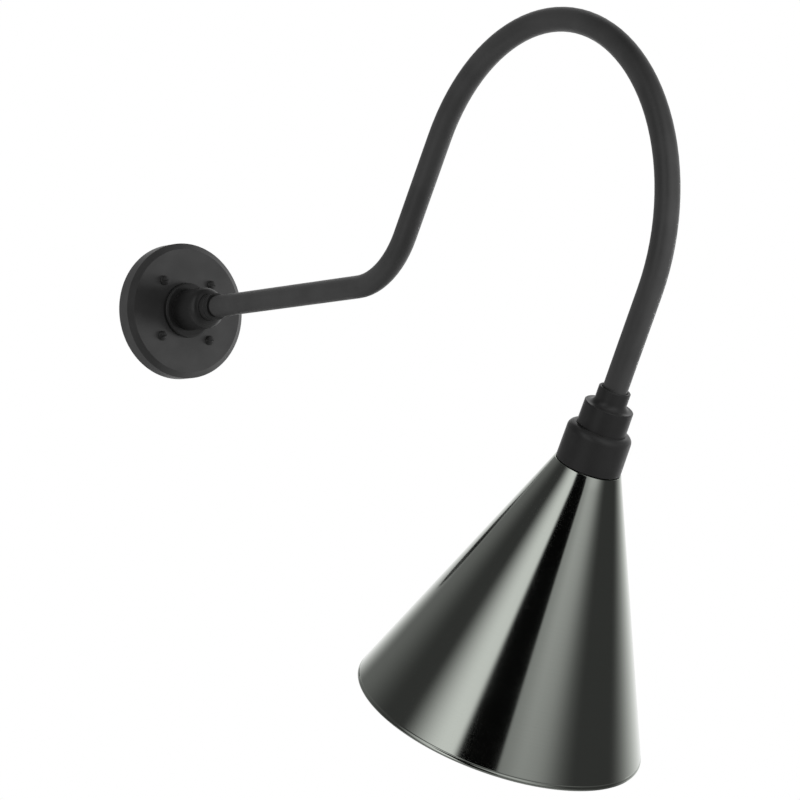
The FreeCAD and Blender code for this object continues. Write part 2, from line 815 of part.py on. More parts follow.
def flat_arc(edge, ends):
    """An arc of the centre line, drawn in its sketch's own plane, which is always drawn anticlockwise."""
    centre = Vector(edge.Curve.Center.y, edge.Curve.Center.z, 0)
    spokes = [end - centre for end in ends]
    if spokes[0].cross(spokes[1]).z < 0:
        spokes.reverse()
    angles = [math.atan2(spoke.y, spoke.x) for spoke in spokes]
    return Part.ArcOfCircle(Part.Circle(centre, Vector(0, 0, 1), edge.Curve.Radius), *angles)


def tie_arm(spine):
    """Ties the centre line to the sheet: its start, its straights and its tangent bends.

    Towards -Y the first bend runs clockwise in the sketch and the long one the other way, so their points 1 and 2
    come in opposite orders.
    """
    joints = [(0, 2, 1, 2), (1, 1, 2, 1), (2, 2, 3, 1), (3, 2, 4, 1)]
    for before, end, after, start in joints:
        spine.addConstraint(Sketcher.Constraint("Tangent", before, end, after, start))
    spine.addConstraint(Sketcher.Constraint("Horizontal", 0))
    pin(spine, 0, 1, f"-{TUBE_START}", "0")
    measures = [
        ("Distance", 0, f"first_straight - {TUBE_START}"),
        ("Radius", 1, "first_bend_radius"),
        ("Distance", 2, "second_straight"),
        ("Radius", 3, "crook_radius"),
        ("Distance", 4, "drop + cap_socket_depth"),
    ]
    for kind, geometry, expression in measures:
        index = spine.addConstraint(Sketcher.Constraint(kind, geometry, size(expression)))
        spine.setExpression(f"Constraints[{index}]", tied(expression))
    for geometry, expression in ((1, "first_bend_angle"), (3, "crook_angle")):
        index = spine.addConstraint(
            Sketcher.Constraint("Angle", geometry, math.radians(size(expression)))
        )
        spine.setExpression(f"Constraints[{index}]", tied(expression))


# Socket cap and cup ----------------------------------------------------------------------------------------------


def make_socket_cap():
    """A casting with a straight neck, a hollow flare to a sharp lip, and a body that widens to the cup."""
    body = turned(
        "socket_cap",
        [
            (BORE_RADIUS, "neck_sink"),
            (f"{BORE_RADIUS} + neck_sink", "0"),
            ("cap_neck_radius - edge_break", "0"),
            ("cap_neck_radius", "edge_break"),
            ("cap_neck_radius", "cap_neck", "flare_length", "left"),
            ("cap_neck_radius + flare_length", FLARE_END),
            ("flare_radius - lip_thick", FLARE_END),
            ("flare_radius", f"{FLARE_END} + lip_thick"),
            ("cap_radius", "cap_length"),
            ("stem_radius + thread_play", "cap_length"),
            ("stem_radius + thread_play", "cap_length - cap_web"),
            ("tube_radius - tube_wall", "cap_length - cap_web"),
            ("tube_radius - tube_wall", "cap_socket_depth"),
            (BORE_RADIUS, "cap_socket_depth"),
        ],
    )
    keep("socket_cap", body, at_lamp)


def make_stem():
    """The hollow threaded stem with its two nuts."""
    body = turned(
        "socket_stem",
        [
            ("stem_bore", "cap_length - cap_web - stem_end_play"),
            ("stem_radius", "cap_length - cap_web - stem_end_play"),
            ("stem_radius", STEM_END),
            ("stem_bore", STEM_END),
        ],
    )
    keep("socket_stem", body, at_lamp)
    for label, bottom in (("cup_nut", CUP_TOP_BACK), ("strap_nut", LOWER_NUT_TOP)):
        nut = hex_nut(label, "stem_nut_radius", "stem_radius + thread_play", bottom, "stem_nut_height")
        keep(label, nut, at_lamp)


def make_socket_cup():
    """The cup over the porcelain: a flat top, a rounded shoulder and a wall that widens a little."""
    inner_shoulder = "(cup_shoulder - cup_wall)"
    body = turned(
        "socket_cup",
        [
            ("stem_radius + hole_play", "cap_length"),
            ("cup_top_radius - cup_shoulder", "cap_length", "cup_shoulder", "right"),
            ("cup_top_radius", "cap_length + cup_shoulder"),
            ("cup_foot_radius", f"{CUP_END} - edge_break"),
            ("cup_foot_radius - edge_break", CUP_END),
            ("cup_foot_radius - cup_wall", CUP_END),
            ("cup_top_radius - cup_wall", "cap_length + cup_shoulder + cup_top - cup_wall", inner_shoulder, "left"),
            (
                f"cup_top_radius - cup_wall - {inner_shoulder}",
                CUP_TOP_BACK,
            ),
            ("stem_radius + hole_play", CUP_TOP_BACK),
        ],
    )
    keep("socket_cup", body, at_lamp)


def make_socket_strap():
    """The steel strap between the stem's nuts, tapped for the long screws."""
    body = new_body("socket_strap")

    def strip(sketch):
        reach, half = "(porcelain_radius - edge_break)", "(strap_width / 2)"
        outline(
            sketch,
            [(f"-{half}", f"-{reach}"), (half, f"-{reach}"), (half, reach), (f"-{half}", reach)],
        )
        circle(sketch, "stem_radius + thread_play")
        circle(sketch, "socket_screw_radius + thread_play", "0", SCREW_OUT)
        circle(sketch, "socket_screw_radius + thread_play", "0", f"-{SCREW_OUT}")

    pad(body, "strap_strip", strip, STRAP_TOP, "strap_thick")
    keep("socket_strap", body, at_lamp)


def make_strap_terminal():
    """The earth lead's terminal under the strap's nut, with its barrel bent down beside the nut."""
    body = new_body("strap_terminal")
    crimp = "(lead_radius + terminal_thick)"

    def ring(sketch):
        circle(sketch, "stem_nut_radius - hole_play")
        circle(sketch, "stem_radius + hole_play")

    def tongue(sketch):
        start, end = "(stem_radius + terminal_thick)", BARREL_OUT
        outline(sketch, [(f"-{crimp}", start), (crimp, start), (crimp, end), (f"-{crimp}", end)])

    def barrel(sketch):
        circle(sketch, crimp, "0", BARREL_OUT)
        circle(sketch, "lead_radius + thread_play", "0", BARREL_OUT)

    pad(body, "strap_terminal_ring", ring, STRAP_BACK, "terminal_thick")
    pad(body, "strap_terminal_tongue", tongue, STRAP_BACK, "terminal_thick")
    pad(body, "strap_terminal_barrel", barrel, STRAP_BACK, "terminal_thick + stem_nut_height")
    keep("strap_terminal", body, at_lamp)


# Porcelain socket and its metal ----------------------------------------------------------------------------------


def make_porcelain():
    """The porcelain: a recess for the wires behind, a floor for the rivets, and the lamp's hole in front."""
    body = turned(
        "socket_porcelain",
        [
            ("recess_radius", STRAP_BACK),
            ("porcelain_radius - edge_break", STRAP_BACK),
            ("porcelain_radius", f"{STRAP_BACK} + edge_break"),
            ("porcelain_radius", f"{PORCELAIN_END} - edge_break"),
            ("porcelain_radius - edge_break", PORCELAIN_END),
            ("porcelain_bore", PORCELAIN_END),
            ("porcelain_bore", LAMP_FLOOR),
            ("0", LAMP_FLOOR),
            ("0", RECESS_FLOOR),
            ("recess_radius", RECESS_FLOOR),
        ],
    )

    def rivet_holes(sketch):
        circle(sketch, "rivet_radius + thread_play", "rivet_out")
        circle(sketch, "rivet_radius + thread_play", "-rivet_out")

    def screw_circles(radius):
        def draw(sketch):
            circle(sketch, radius, "0", SCREW_OUT)
            circle(sketch, radius, "0", f"-{SCREW_OUT}")

        return draw

    pocket(body, "rivet_holes", rivet_holes, RECESS_FLOOR, "porcelain_floor")
    shank = "socket_screw_radius + hole_play"
    pocket(body, "screw_holes", screw_circles(shank), STRAP_BACK, "porcelain_length")
    pocket(
        body,
        "screw_counterbores",
        screw_circles("socket_screw_head + hole_play"),
        f"{PORCELAIN_END} - socket_screw_sunk",
        "socket_screw_sunk",
    )
    keep("socket_porcelain", body, at_lamp)


def make_socket_screws():
    """Two long screws from the porcelain's mouth into the strap."""
    seat = f"({PORCELAIN_END} - socket_screw_sunk)"
    body = turned(
        "socket_screw",
        [
            ("0", f"{STRAP_TOP} - edge_break"),
            ("socket_screw_radius", f"{STRAP_TOP} - edge_break"),
            ("socket_screw_radius", seat),
            ("socket_screw_head", seat),
            ("socket_screw_head", f"{seat} + socket_screw_head_height / 2"),
            ("socket_screw_head / 2", f"{seat} + socket_screw_head_height"),
            ("0", f"{seat} + socket_screw_head_height"),
        ],
    )
    out = size(SCREW_OUT)
    places = [Placement(Vector(0, side * out, 0), Rotation()) for side in (1, -1)]
    copies("socket_screws", body, at_lamp, places)


def make_screw_shell():
    """The metal shell that the lamp screws into, with an ear that is riveted to the floor."""
    outside = f"({SHELL_RADIUS} + shell_thick)"
    start = f"({LAMP_FLOOR} + shell_lift)"
    body = turned(
        "screw_shell",
        [
            (SHELL_RADIUS, start),
            (outside, start),
            (outside, f"{start} + shell_length"),
            (SHELL_RADIUS, f"{start} + shell_length"),
        ],
    )
    half = "(strip_width * 0.4)"
    leg_back = f"({SHELL_RADIUS} + shell_thick * 1.2)"

    def strip(inner):
        def draw(sketch):
            corners = [(f"-{leg_back}", f"-{half}"), (f"-({inner})", f"-{half}")]
            corners += [(f"-({inner})", half), (f"-{leg_back}", half)]
            outline(sketch, corners)

        return draw

    leg_front = f"{SHELL_RADIUS} + shell_thick / 4"
    pad(body, "shell_leg", strip(leg_front), LAMP_FLOOR, "shell_lift + shell_thick")
    pad(body, "shell_ear", strip("rivet_out - rivet_head_radius"), LAMP_FLOOR, "shell_thick")
    pocket(
        body,
        "shell_ear_hole",
        lambda sketch: circle(sketch, "rivet_radius + thread_play", "-rivet_out"),
        LAMP_FLOOR,
        "shell_thick",
    )
    keep("screw_shell", body, at_lamp)


def make_centre_contact():
    """The sprung strip under the lamp: flat where it is riveted, then up and over the centre."""
    body = new_body("centre_contact")
    sketch = sketch_on(body, "XZ_Plane", "contact_outline")
    floor, top = LAMP_FLOOR, f"({LAMP_FLOOR} + contact_rise)"
    outline(
        sketch,
        [
            ("rivet_out + rivet_head_radius", floor),
            ("rivet_out + rivet_head_radius", f"{floor} + strip_thick"),
            ("rivet_out - rivet_head_radius", f"{floor} + strip_thick"),
            ("strip_width / 2", f"{top} + strip_thick"),
            ("-strip_width / 2", f"{top} + strip_thick"),
            ("-strip_width / 2", top),
            ("strip_width / 2 - strip_thick / 2", top),
            ("rivet_out - rivet_head_radius - strip_thick / 2", floor),
        ],
    )
    strip = body.newObject("PartDesign::Pad", "contact_strip")
    strip.Profile = sketch
    strip.Midplane = True
    strip.setExpression("Length", tied("strip_width"))
    doc.recompute()
    pocket(
        body,
        "contact_hole",
        lambda drawing: circle(drawing, "rivet_radius + thread_play", "rivet_out"),
        LAMP_FLOOR,
        "strip_thick",
    )
    keep("centre_contact", body, at_lamp)


def make_rivets():
    """Two rivets through the floor: one clamps the shell's ear, the other the centre contact."""
    wire_side = f"({RECESS_FLOOR} - rivet_head_height)"
    for label, metal, out in (
        ("shell_rivet", "shell_thick", "-rivet_out"),
        ("contact_rivet", "strip_thick", "rivet_out"),
    ):
        seat = f"({LAMP_FLOOR} + {metal})"
        body = turned(
            label,
            [
                ("0", wire_side),
                ("rivet_head_radius", wire_side),
                ("rivet_head_radius", RECESS_FLOOR),
                ("rivet_radius", RECESS_FLOOR),
                ("rivet_radius", seat),
                ("rivet_head_radius - edge_break", seat),
                ("rivet_radius", f"{seat} + rivet_head_height"),
                ("0", f"{seat} + rivet_head_height"),
            ],
        )
        copies(label, body, at_lamp, [Placement(Vector(size(out), 0, 0), Rotation())])


# Shade -----------------------------------------------------------------------------------------------------------

SLOPE = "((shade_rim_radius - shade_top_radius) / shade_length)"
STRETCH = f"sqrt(1 + {SLOPE}^2)"


def make_shade():
    """A spun cone: its top is turned in under the cup, and its rim is rolled in."""
    inset = f"(shade_wall * {STRETCH})"
    roll_start = f"({SHADE_END} - rim_roll)"
    rim = f"(shade_rim_radius - rim_roll * {SLOPE})"
    body = turned(
        "shade",
        [
            ("porcelain_radius + hole_play", SHADE_TOP),
            ("shade_top_radius", SHADE_TOP),
            (rim, roll_start, "rim_roll", "right"),
            (f"{rim} - rim_roll", SHADE_END, "rim_roll", "right"),
            (f"{rim} - 2 * rim_roll", roll_start),
            (f"{rim} - {inset} - rim_roll * {SLOPE}", f"{roll_start} - rim_roll"),
            (f"shade_top_radius - {inset} + shade_wall * {SLOPE}", f"{SHADE_TOP} + shade_wall"),
            ("porcelain_radius + hole_play", f"{SHADE_TOP} + shade_wall"),
        ],
    )
    keep("shade", body, at_lamp)


def make_shade_ring():
    """The threaded ring on the porcelain that presses the shade up against the cup."""
    bottom = f"({SHADE_TOP} + shade_wall)"
    body = turned(
        "shade_ring",
        [
            ("porcelain_radius + thread_play", bottom),
            ("shade_ring_radius", bottom),
            ("shade_ring_radius", f"{bottom} + shade_ring_height - edge_break"),
            ("shade_ring_radius - edge_break", f"{bottom} + shade_ring_height"),
            ("porcelain_radius + thread_play", f"{bottom} + shade_ring_height"),
        ],
    )
    keep("shade_ring", body, at_lamp)


# Lamp ------------------------------------------------------------------------------------------------------------

BULB_CENTRE = f"({LAMP_CROWN} - lamp_radius)"
NECK_END = f"({BASE_END} + lamp_radius * 0.3)"
RISE = f"({BULB_CENTRE} - {NECK_END})"
WAIST = f"((lamp_neck_radius^2 + {RISE}^2 - lamp_radius^2) / (2 * (lamp_radius - lamp_neck_radius)))"
LEAN = f"((lamp_neck_radius + {WAIST}) / (lamp_radius + {WAIST}))"
LIFT = f"({RISE} / (lamp_radius + {WAIST}))"


def make_lamp_glass():
    """A pear-shaped bulb: a straight neck, a hollow waist and a round crown, tangent to each other."""
    neck_foot = f"({BASE_END} - lamp_base_length / 3)"
    inner = "(lamp_radius - glass_wall)"
    neck_in_base = "(lamp_base_radius - base_wall - thread_play)"
    body = turned(
        "lamp_glass",
        [
            (f"{neck_in_base} - glass_wall", neck_foot),
            (neck_in_base, neck_foot),
            (neck_in_base, BASE_END),
            ("lamp_neck_radius", NECK_END, WAIST, "left"),
            (f"lamp_radius * {LEAN}", f"{BULB_CENTRE} - lamp_radius * {LIFT}", "lamp_radius", "right"),
            ("lamp_radius", BULB_CENTRE, "lamp_radius", "right"),
            ("0", LAMP_CROWN),
            ("0", f"{LAMP_CROWN} - glass_wall", inner, "left"),
            (inner, BULB_CENTRE, inner, "left"),
            (f"{inner} * {LEAN}", f"{BULB_CENTRE} - {inner} * {LIFT}", f"{WAIST} + glass_wall", "right"),
            ("lamp_neck_radius - glass_wall", NECK_END),
            (f"{neck_in_base} - glass_wall", BASE_END),
        ],
    )
    keep("lamp_glass", body, at_lamp)


def make_lamp_base():
    """The lamp's screw base, its insulator and its centre contact."""
    base = turned(
        "lamp_base",
        [
            ("lamp_radius / 3", BASE_START),
            ("lamp_radius / 3 + edge_break", BASE_START),
            ("lamp_base_radius", f"{BASE_START} + insulator_height"),
            ("lamp_base_radius", BASE_END),
            ("lamp_base_radius - base_wall", BASE_END),
            ("lamp_base_radius - base_wall", f"{BASE_START} + insulator_height + base_wall"),
            ("lamp_radius / 3", f"{BASE_START} + base_wall"),
        ],
    )
    keep("lamp_base", base, at_lamp)
    insulator = turned(
        "lamp_insulator",
        [
            ("lamp_tip_radius - edge_break", INSULATOR_START),
            ("lamp_tip_radius + edge_break", INSULATOR_START),
            ("lamp_radius / 3", BASE_START),
            ("lamp_radius / 3 - edge_break", f"{BASE_START} + base_wall"),
            ("lamp_tip_radius - edge_break", f"{BASE_START} + base_wall"),
        ],
    )
    keep("lamp_insulator", insulator, at_lamp)
    tip = turned(
        "lamp_contact",
        [
            ("0", LAMP_TIP),
            ("lamp_tip_radius / 2", LAMP_TIP),
            ("lamp_tip_radius", f"{INSULATOR_START} - edge_break"),
            ("lamp_tip_radius", INSULATOR_START),
            ("0", INSULATOR_START),
        ],
    )
    keep("lamp_contact", tip, at_lamp)


def make_lamp_inside():
    """The glass mount inside the bulb, the two support wires and the filament between them."""
    foot = f"({BASE_END} - lamp_base_length / 4)"
    flare = "(lamp_base_radius - base_wall - glass_wall - 2 * thread_play)"
    wire_foot = f"({BASE_END} + lamp_radius * 0.55)"
    stem_radius = "(lamp_radius / 10)"
    mount = turned(
        "lamp_mount",
        [
            ("0", foot),
            (flare, foot),
            (flare, f"{foot} + glass_wall"),
            (stem_radius, BASE_END),
            (stem_radius, wire_foot),
            ("0", wire_foot),
        ],
    )
    keep("lamp_mount", mount, at_lamp)
    height = size(f"{BASE_END} + filament_rise")
    half_span = size("filament_span") / 2
    wire = size("filament_wire")
    foot_out = size(stem_radius) - 2 * wire
    supports = []
    for side in (1, -1):
        start = Vector(side * foot_out, 0, size(wire_foot))
        end = Vector(side * half_span, 0, height)
        path = Part.Wire([Part.LineSegment(start, end).toShape()])
        section = Part.Wire([Part.Circle(start, end - start, wire).toShape()])
        supports.append(path.makePipeShell([section], True, False))
    group = doc.addObject("Part::Feature", "lamp_supports_group")
    group.Shape = Part.Compound(supports)
    keep("lamp_supports", group, at_lamp)
    sag = half_span / 3
    crest = height + wire
    arc = Part.Arc(
        Vector(-half_span, 0, crest), Vector(0, sag, crest), Vector(half_span, 0, crest)
    ).toShape()
    path = Part.Wire([arc])
    tangent = arc.tangentAt(arc.FirstParameter)
    section = Part.Wire([Part.Circle(Vector(-half_span, 0, crest), tangent, wire).toShape()])
    coil = doc.addObject("Part::Feature", "lamp_filament_coil")
    coil.Shape = path.makePipeShell([section], True, False)
    keep("lamp_filament", coil, at_lamp)


# Wires -----------------------------------------------------------------------------------------------------------


LEADS_LOW = "(-lead_spacing / (2 * sqrt(3)))"
EARTH_HIGH = "(lead_spacing / sqrt(3))"


def turn(radius, before, after):
    """A bend by 90 degrees from one heading into another."""
    return radius, 90, before.cross(after)


def make_leads():
    """Two supply leads and an earth lead, in a triangle about the arm's centre line.

    Behind the hub the supply leads turn off sideways into their connectors, and the earth lead turns down to its
    terminal. In the porcelain's recess the supply leads turn off to the rivets, and the earth lead turns round and
    comes back up into the terminal on the strap.
    """
    out = Vector(0, -1, 0)
    bearing = math.radians(route.heading)
    along = Vector(0, -math.cos(bearing), math.sin(bearing))
    above = Vector(0, math.sin(bearing), math.cos(bearing))
    radius, wall_bend, bend = size("lead_radius"), size("wall_bend"), size("lead_bend")
    half = size("lead_spacing") / 2
    inward_run = size("connector_out + connector_length * 0.65") - half - wall_bend
    rivet_run = size("rivet_out + rivet_radius") - half - bend
    for label, side in (("line_lead", 1), ("neutral_lead", -1)):
        aside = Vector(side, 0, 0)
        start = Vector(side * (half + wall_bend + inward_run), -size(LEAD_RUN), size(LEADS_LOW))
        moves = [inward_run, turn(wall_bend, -aside, out)]
        moves += arm_moves(size(LEADS_LOW), size(LEAD_RUN) + wall_bend, size(LEAD_TURN))
        moves += [turn(bend, along, aside), rivet_run]
        swept(label, follow(start, -aside, moves), radius, -aside)
    high = size(EARTH_HIGH)
    foot = -size("earth_screw_out - earth_head_radius - terminal_barrel_length / 3")
    start = Vector(0, -size(EARTH_RUN), foot)
    moves = [high - wall_bend - foot, turn(wall_bend, Vector(0, 0, 1), out)]
    moves += arm_moves(high, size(EARTH_RUN) + wall_bend, size(LEAD_TURN))
    moves += [turn(bend, along, above), size(BARREL_OUT) - high - 2 * bend, turn(bend, above, -along)]
    moves += [size(f"{LEAD_TURN} - {STRAP_BACK} - terminal_thick")]
    swept("earth_lead", follow(start, Vector(0, 0, 1), moves), radius, Vector(0, 0, 1))


MAKERS = [
    make_canopy,
    make_wall_bracket,
    make_canopy_screws,
    make_earth_parts,
    make_wire_connectors,
    make_hub,
    make_hub_fasteners,
    make_arm_collar,
    make_arm,
    make_socket_cap,
    make_stem,
    make_socket_cup,
    make_socket_strap,
    make_strap_terminal,
    make_porcelain,
    make_socket_screws,
    make_screw_shell,
    make_centre_contact,
    make_rivets,
    make_shade,
    make_shade_ring,
    make_lamp_glass,
    make_lamp_base,
    make_lamp_inside,
    make_leads,
]
for make in MAKERS:
    make()
doc.recompute()

for thing in doc.Objects:
    if "Invalid" in thing.State or "Error" in thing.State:
        raise RuntimeError(f"{thing.Name} failed: {thing.State}")
for label, piece in pieces.items():
    if piece.Shape.isNull() or not piece.Shape.isValid():
        raise RuntimeError(f"{label} has no valid shape")

os.makedirs("parts", exist_ok=True)
for label, piece in pieces.items():
    piece.Shape.exportStep(f"parts/{label}.step")
print(f"{len(pieces)} nodes")
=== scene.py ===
"""Looks of the gooseneck wall sconce: finishes, fine pieces, light, floor and camera.

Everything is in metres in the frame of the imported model: the wall is the plane Y = 0, the light
stands out along -Y, and +Z is up. Pieces at the lamp are drawn about the shade's axis, and their
heights are distances from the top of the socket cap.
"""

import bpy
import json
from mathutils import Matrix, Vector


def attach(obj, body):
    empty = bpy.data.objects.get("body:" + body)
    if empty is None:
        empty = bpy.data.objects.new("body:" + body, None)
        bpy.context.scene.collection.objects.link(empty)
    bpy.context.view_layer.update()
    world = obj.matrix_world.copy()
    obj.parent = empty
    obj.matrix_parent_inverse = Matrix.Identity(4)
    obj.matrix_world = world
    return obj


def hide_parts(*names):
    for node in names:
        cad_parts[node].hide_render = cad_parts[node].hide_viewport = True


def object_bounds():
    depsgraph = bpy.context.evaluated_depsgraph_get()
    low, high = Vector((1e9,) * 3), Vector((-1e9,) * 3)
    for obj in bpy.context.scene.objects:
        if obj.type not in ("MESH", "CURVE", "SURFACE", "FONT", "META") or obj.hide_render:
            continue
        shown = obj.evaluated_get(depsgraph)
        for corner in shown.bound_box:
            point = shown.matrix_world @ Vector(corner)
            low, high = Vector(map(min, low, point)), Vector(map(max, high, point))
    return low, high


bl_info = {
    "name": "Gooseneck Wall Sconce",
    "version": (1, 0, 0),
    "blender": (4, 5, 0),
    "location": "3D View > Sidebar > Sconce",
    "description": "Finishes, fine pieces and the studio for a gooseneck wall sconce",
    "category": "Object",
}

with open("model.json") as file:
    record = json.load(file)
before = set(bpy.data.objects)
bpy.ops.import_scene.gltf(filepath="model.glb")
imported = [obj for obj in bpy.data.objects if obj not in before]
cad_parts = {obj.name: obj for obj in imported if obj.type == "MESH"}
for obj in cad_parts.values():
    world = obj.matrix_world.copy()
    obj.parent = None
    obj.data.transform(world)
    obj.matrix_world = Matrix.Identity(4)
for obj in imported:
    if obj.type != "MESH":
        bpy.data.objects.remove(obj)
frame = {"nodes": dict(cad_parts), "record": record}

import json
import math

import bmesh
import bpy
from bpy.props import FloatProperty, FloatVectorProperty, IntProperty, PointerProperty
from mathutils import Matrix, Vector

CAD_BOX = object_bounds()

# The shade's axis: where the arm enters the socket cap, and the direction out of the shade.
LEAN = math.radians(28.0)
AXIS_START = Vector((0.0, -0.612212, -0.102888))
AXIS = Vector((0.0, math.sin(LEAN), -math.cos(LEAN)))
AXIS_FRAME = Matrix.Translation(AXIS_START) @ Matrix.Rotation(LEAN, 4, "X") @ Matrix.Rotation(math.pi, 4, "X")


# Rows of faces down the cone and down its lining.
CONE_ROWS = 24
LINING_ROWS = 12

# Where the rolled edge ends, in degrees from the outward direction, and how many of its radii above
# the rim the lining starts.
ROLL_END = 205.0
LINING_START = 2.6

# The studio's soft panels as gloss shows them: where each starts and ends to rise, starts and ends to
# fall, in degrees round the vertical, and its level. The front ones count from the room's side of the
# light and the rear ones from the wall's side. The flag is a black screen between two panels.
LEFT_PANEL = (-104, -66, -60, -54, 0.88)
REAR_PANELS = ((-114, -50, -32, 8, 0.82), (-110, -60, 10, 62, 0.13))
RIGHT_PANELS = ((-28, -26, 0, 34, 0.34), (-26, -9, -6, 22, 0.22))
BLACK_FLAG = (-58, -54, -28, -26, 0.95)

# How a ray's upward part changes the studio: start, end, and the levels there.
RIGHT_PANELS_DIM = (-0.2, 0.05, 0.55, 1.0)
CEILING_STARTS = (0.72, 0.95, 0.0, 1.0)

# Each lamp's name, place, target, side in metres and power in watts.
LAMPS = (
    ("panel_left", (-1.75, 1.0, -0.25), (0.0, -0.35, -0.05), 1.0, 38.0),
    ("panel_right", (1.15, -0.42, -0.1), (0.0, -0.2, 0.0), 0.5, 36.0),
    ("panel_arch", (0.16, -1.0, -0.05), (0.0, -0.66, 0.02), 0.15, 2.1),
)

# The floor turns white from this share of its radius to this one.
FLOOR_FADE = (0.15, 0.85)


# Values a user would change -----------------------------------------------------------------------


def colour(name, description, value):
    return FloatVectorProperty(
        name=name, description=description, default=value, subtype="COLOR", size=3, min=0.0, max=1.0
    )


def length(name, description, value):
    return FloatProperty(
        name=name, description=description, default=value, subtype="DISTANCE", unit="LENGTH", min=0.0,
        precision=5,
    )


def angle(name, description, degrees):
    return FloatProperty(
        name=name, description=description, default=math.radians(degrees), subtype="ANGLE", unit="ROTATION"
    )


def level(name, description, value):
    return FloatProperty(name=name, description=description, default=value, min=0.0, soft_max=1.0)


class SconceFinishes(bpy.types.PropertyGroup):
    """Colours of the finishes."""

    coat: colour("Powder coat", "Satin black coat of the canopy and the arm", (0.045, 0.045, 0.045))
    # A darker copy of the satin black coat, given to the hub, collar, cap, cup and screws.
    darker_coat: colour(
        "Darker coat", "Darker black of the hub, ring, cap, cup and screws", (0.021, 0.021, 0.021),
    )
    nickel: colour("Polished nickel", "Outside of the shade", (0.53, 0.56, 0.515))
    enamel: colour("Enamel", "White inside of the shade", (0.82, 0.82, 0.8))
    zinc: colour("Zinc plate", "Bracket, nuts, strap and stem", (0.62, 0.63, 0.62))
    earth_green: colour("Green zinc", "Earth screw", (0.03, 0.22, 0.08))
    tin: colour("Tinned copper", "Crimped terminals", (0.7, 0.69, 0.66))
    connector: colour("Connector", "Twist-on wire connectors", (0.72, 0.2, 0.03))
    glaze: colour("Glaze", "Porcelain of the socket and its ring", (0.86, 0.85, 0.8))
    brass: colour("Plated brass", "Screw shell, contact and rivets", (0.66, 0.52, 0.28))
    line: colour("Line lead", "Black insulation", (0.02, 0.02, 0.02))
    neutral: colour("Neutral lead", "White insulation", (0.8, 0.8, 0.78))
    earth: colour("Earth lead", "Green insulation", (0.04, 0.3, 0.1))
    bulb: colour("Frosted glass", "Bulb", (0.93, 0.93, 0.9))
    mount: colour("Clear glass", "Mount in the bulb", (0.9, 0.92, 0.92))
    base: colour("Lamp base", "Rolled aluminium", (0.74, 0.74, 0.72))
    insulator: colour("Black glass", "Foot of the lamp base", (0.02, 0.02, 0.025))
    tungsten: colour("Tungsten", "Filament", (0.25, 0.25, 0.26))
    floor: colour("Floor", "Pale floor under the light", (0.8, 0.8, 0.79))


class SconceShade(bpy.types.PropertyGroup):
    """Sizes of the spun shade."""

    top: length("Top", "Distance of the shade's top along its axis", 0.0626)
    height: length("Height", "Length of the cone along its axis", 0.21348)
    top_radius: length("Top radius", "Outside radius at the top", 0.0260)
    rim_radius: length("Rim radius", "Outside radius at the rim", 0.1143)
    neck_radius: length("Neck radius", "Hole in the turned-in top", 0.0202)
    wall: length("Wall", "Thickness of the metal", 0.0012)
    roll: length("Roll", "Radius of the edge rolled in at the rim", 0.0015)
    corner: length("Corner", "Rounding of the top edge", 0.0006)
    crease: length("Crease", "Middle of the crease, measured up the cone from the rolled edge", 0.0015)
    crease_width: length("Crease width", "Width of each side of the crease and half of its floor", 0.0003)
    crease_depth: length("Crease depth", "Depth of the crease above the rim", 0.0003)
    land: length("Land", "Straight strip between the crease and the rolled edge", 0.0004)
    steps: IntProperty(name="Steps", description="Facets round the shade", default=384, min=64, max=1024)


class SconceLamp(bpy.types.PropertyGroup):
    """Sizes of the lamp's screw base."""

    pitch: length("Pitch", "One turn of the lamp's thread", 0.00363)
    base_radius: length("Base radius", "Crest of the lamp base's thread", 0.0130)
    thread_depth: length("Thread depth", "Crest to root on the lamp base", 0.0008)
    plain: length("Plain ends", "Length of the base without thread at each end", 0.0022)
    metal: length("Metal", "Sheet of the base", 0.0003)
    foot_radius: length("Foot radius", "Radius of the base's foot round the insulator", 0.0100)
    shoulder: length("Shoulder", "Height of the cone between the foot and the thread", 0.0032)
    lip: length("Lip", "Flat edge of the foot, and how far the cone stops short of the crest", 0.0005)
    turn_in: length("Turn in", "Height of the rounding between the cone and the thread", 0.0006)
    rows: IntProperty(name="Rows", description="Rows of faces in one turn of the thread", default=14, min=6)
    facets: IntProperty(name="Facets", description="Facets round the base", default=96, min=24)


class SconceStudio(bpy.types.PropertyGroup):
    """Camera, panels and lamps."""

    azimuth: angle("Azimuth", "Angle of the camera round the light", -36.045)
    elevation: angle("Elevation", "Angle of the camera above the horizon", -4.836)
    roll: angle("Roll", "Turn of the camera about its own axis", 1.580)
    place: FloatVectorProperty(
        name="Place", description="Where the camera stands", default=(-1.521925, -2.433863, -0.315746),
        subtype="TRANSLATION", unit="LENGTH", size=3, precision=5,
    )
    lens: FloatProperty(name="Lens", description="Focal length in millimetres", default=144.856, min=1.0)
    floor_height: length("Floor drop", "Floor below the middle of the canopy", 1.25)
    floor_radius: length("Floor radius", "Radius of the pale floor", 3.0)
    room: level("Room", "Level of the world on matt surfaces", 0.36)
    dark: level("Dark room", "Level between the panels, as gloss shows it", 0.05)
    ceiling: level("Ceiling", "Level overhead, as gloss shows it", 0.1)
    off_stage: level("Floor off camera", "How pale the floor is in gloss and as a bounce", 0.25)


# Node building ------------------------------------------------------------------------------------


def add(tree, kind, **values):
    """A node with its properties, or inputs given by name or number, set."""
    n = tree.nodes.new(kind)
    for key, value in values.items():
        if key == "inputs":
            for socket, setting in value.items():
                n.inputs[socket].default_value = setting
        else:
            setattr(n, key, value)
    return n


def join(tree, source, target):
    """Links a node's output to another's input."""
    tree.links.new(source, target)


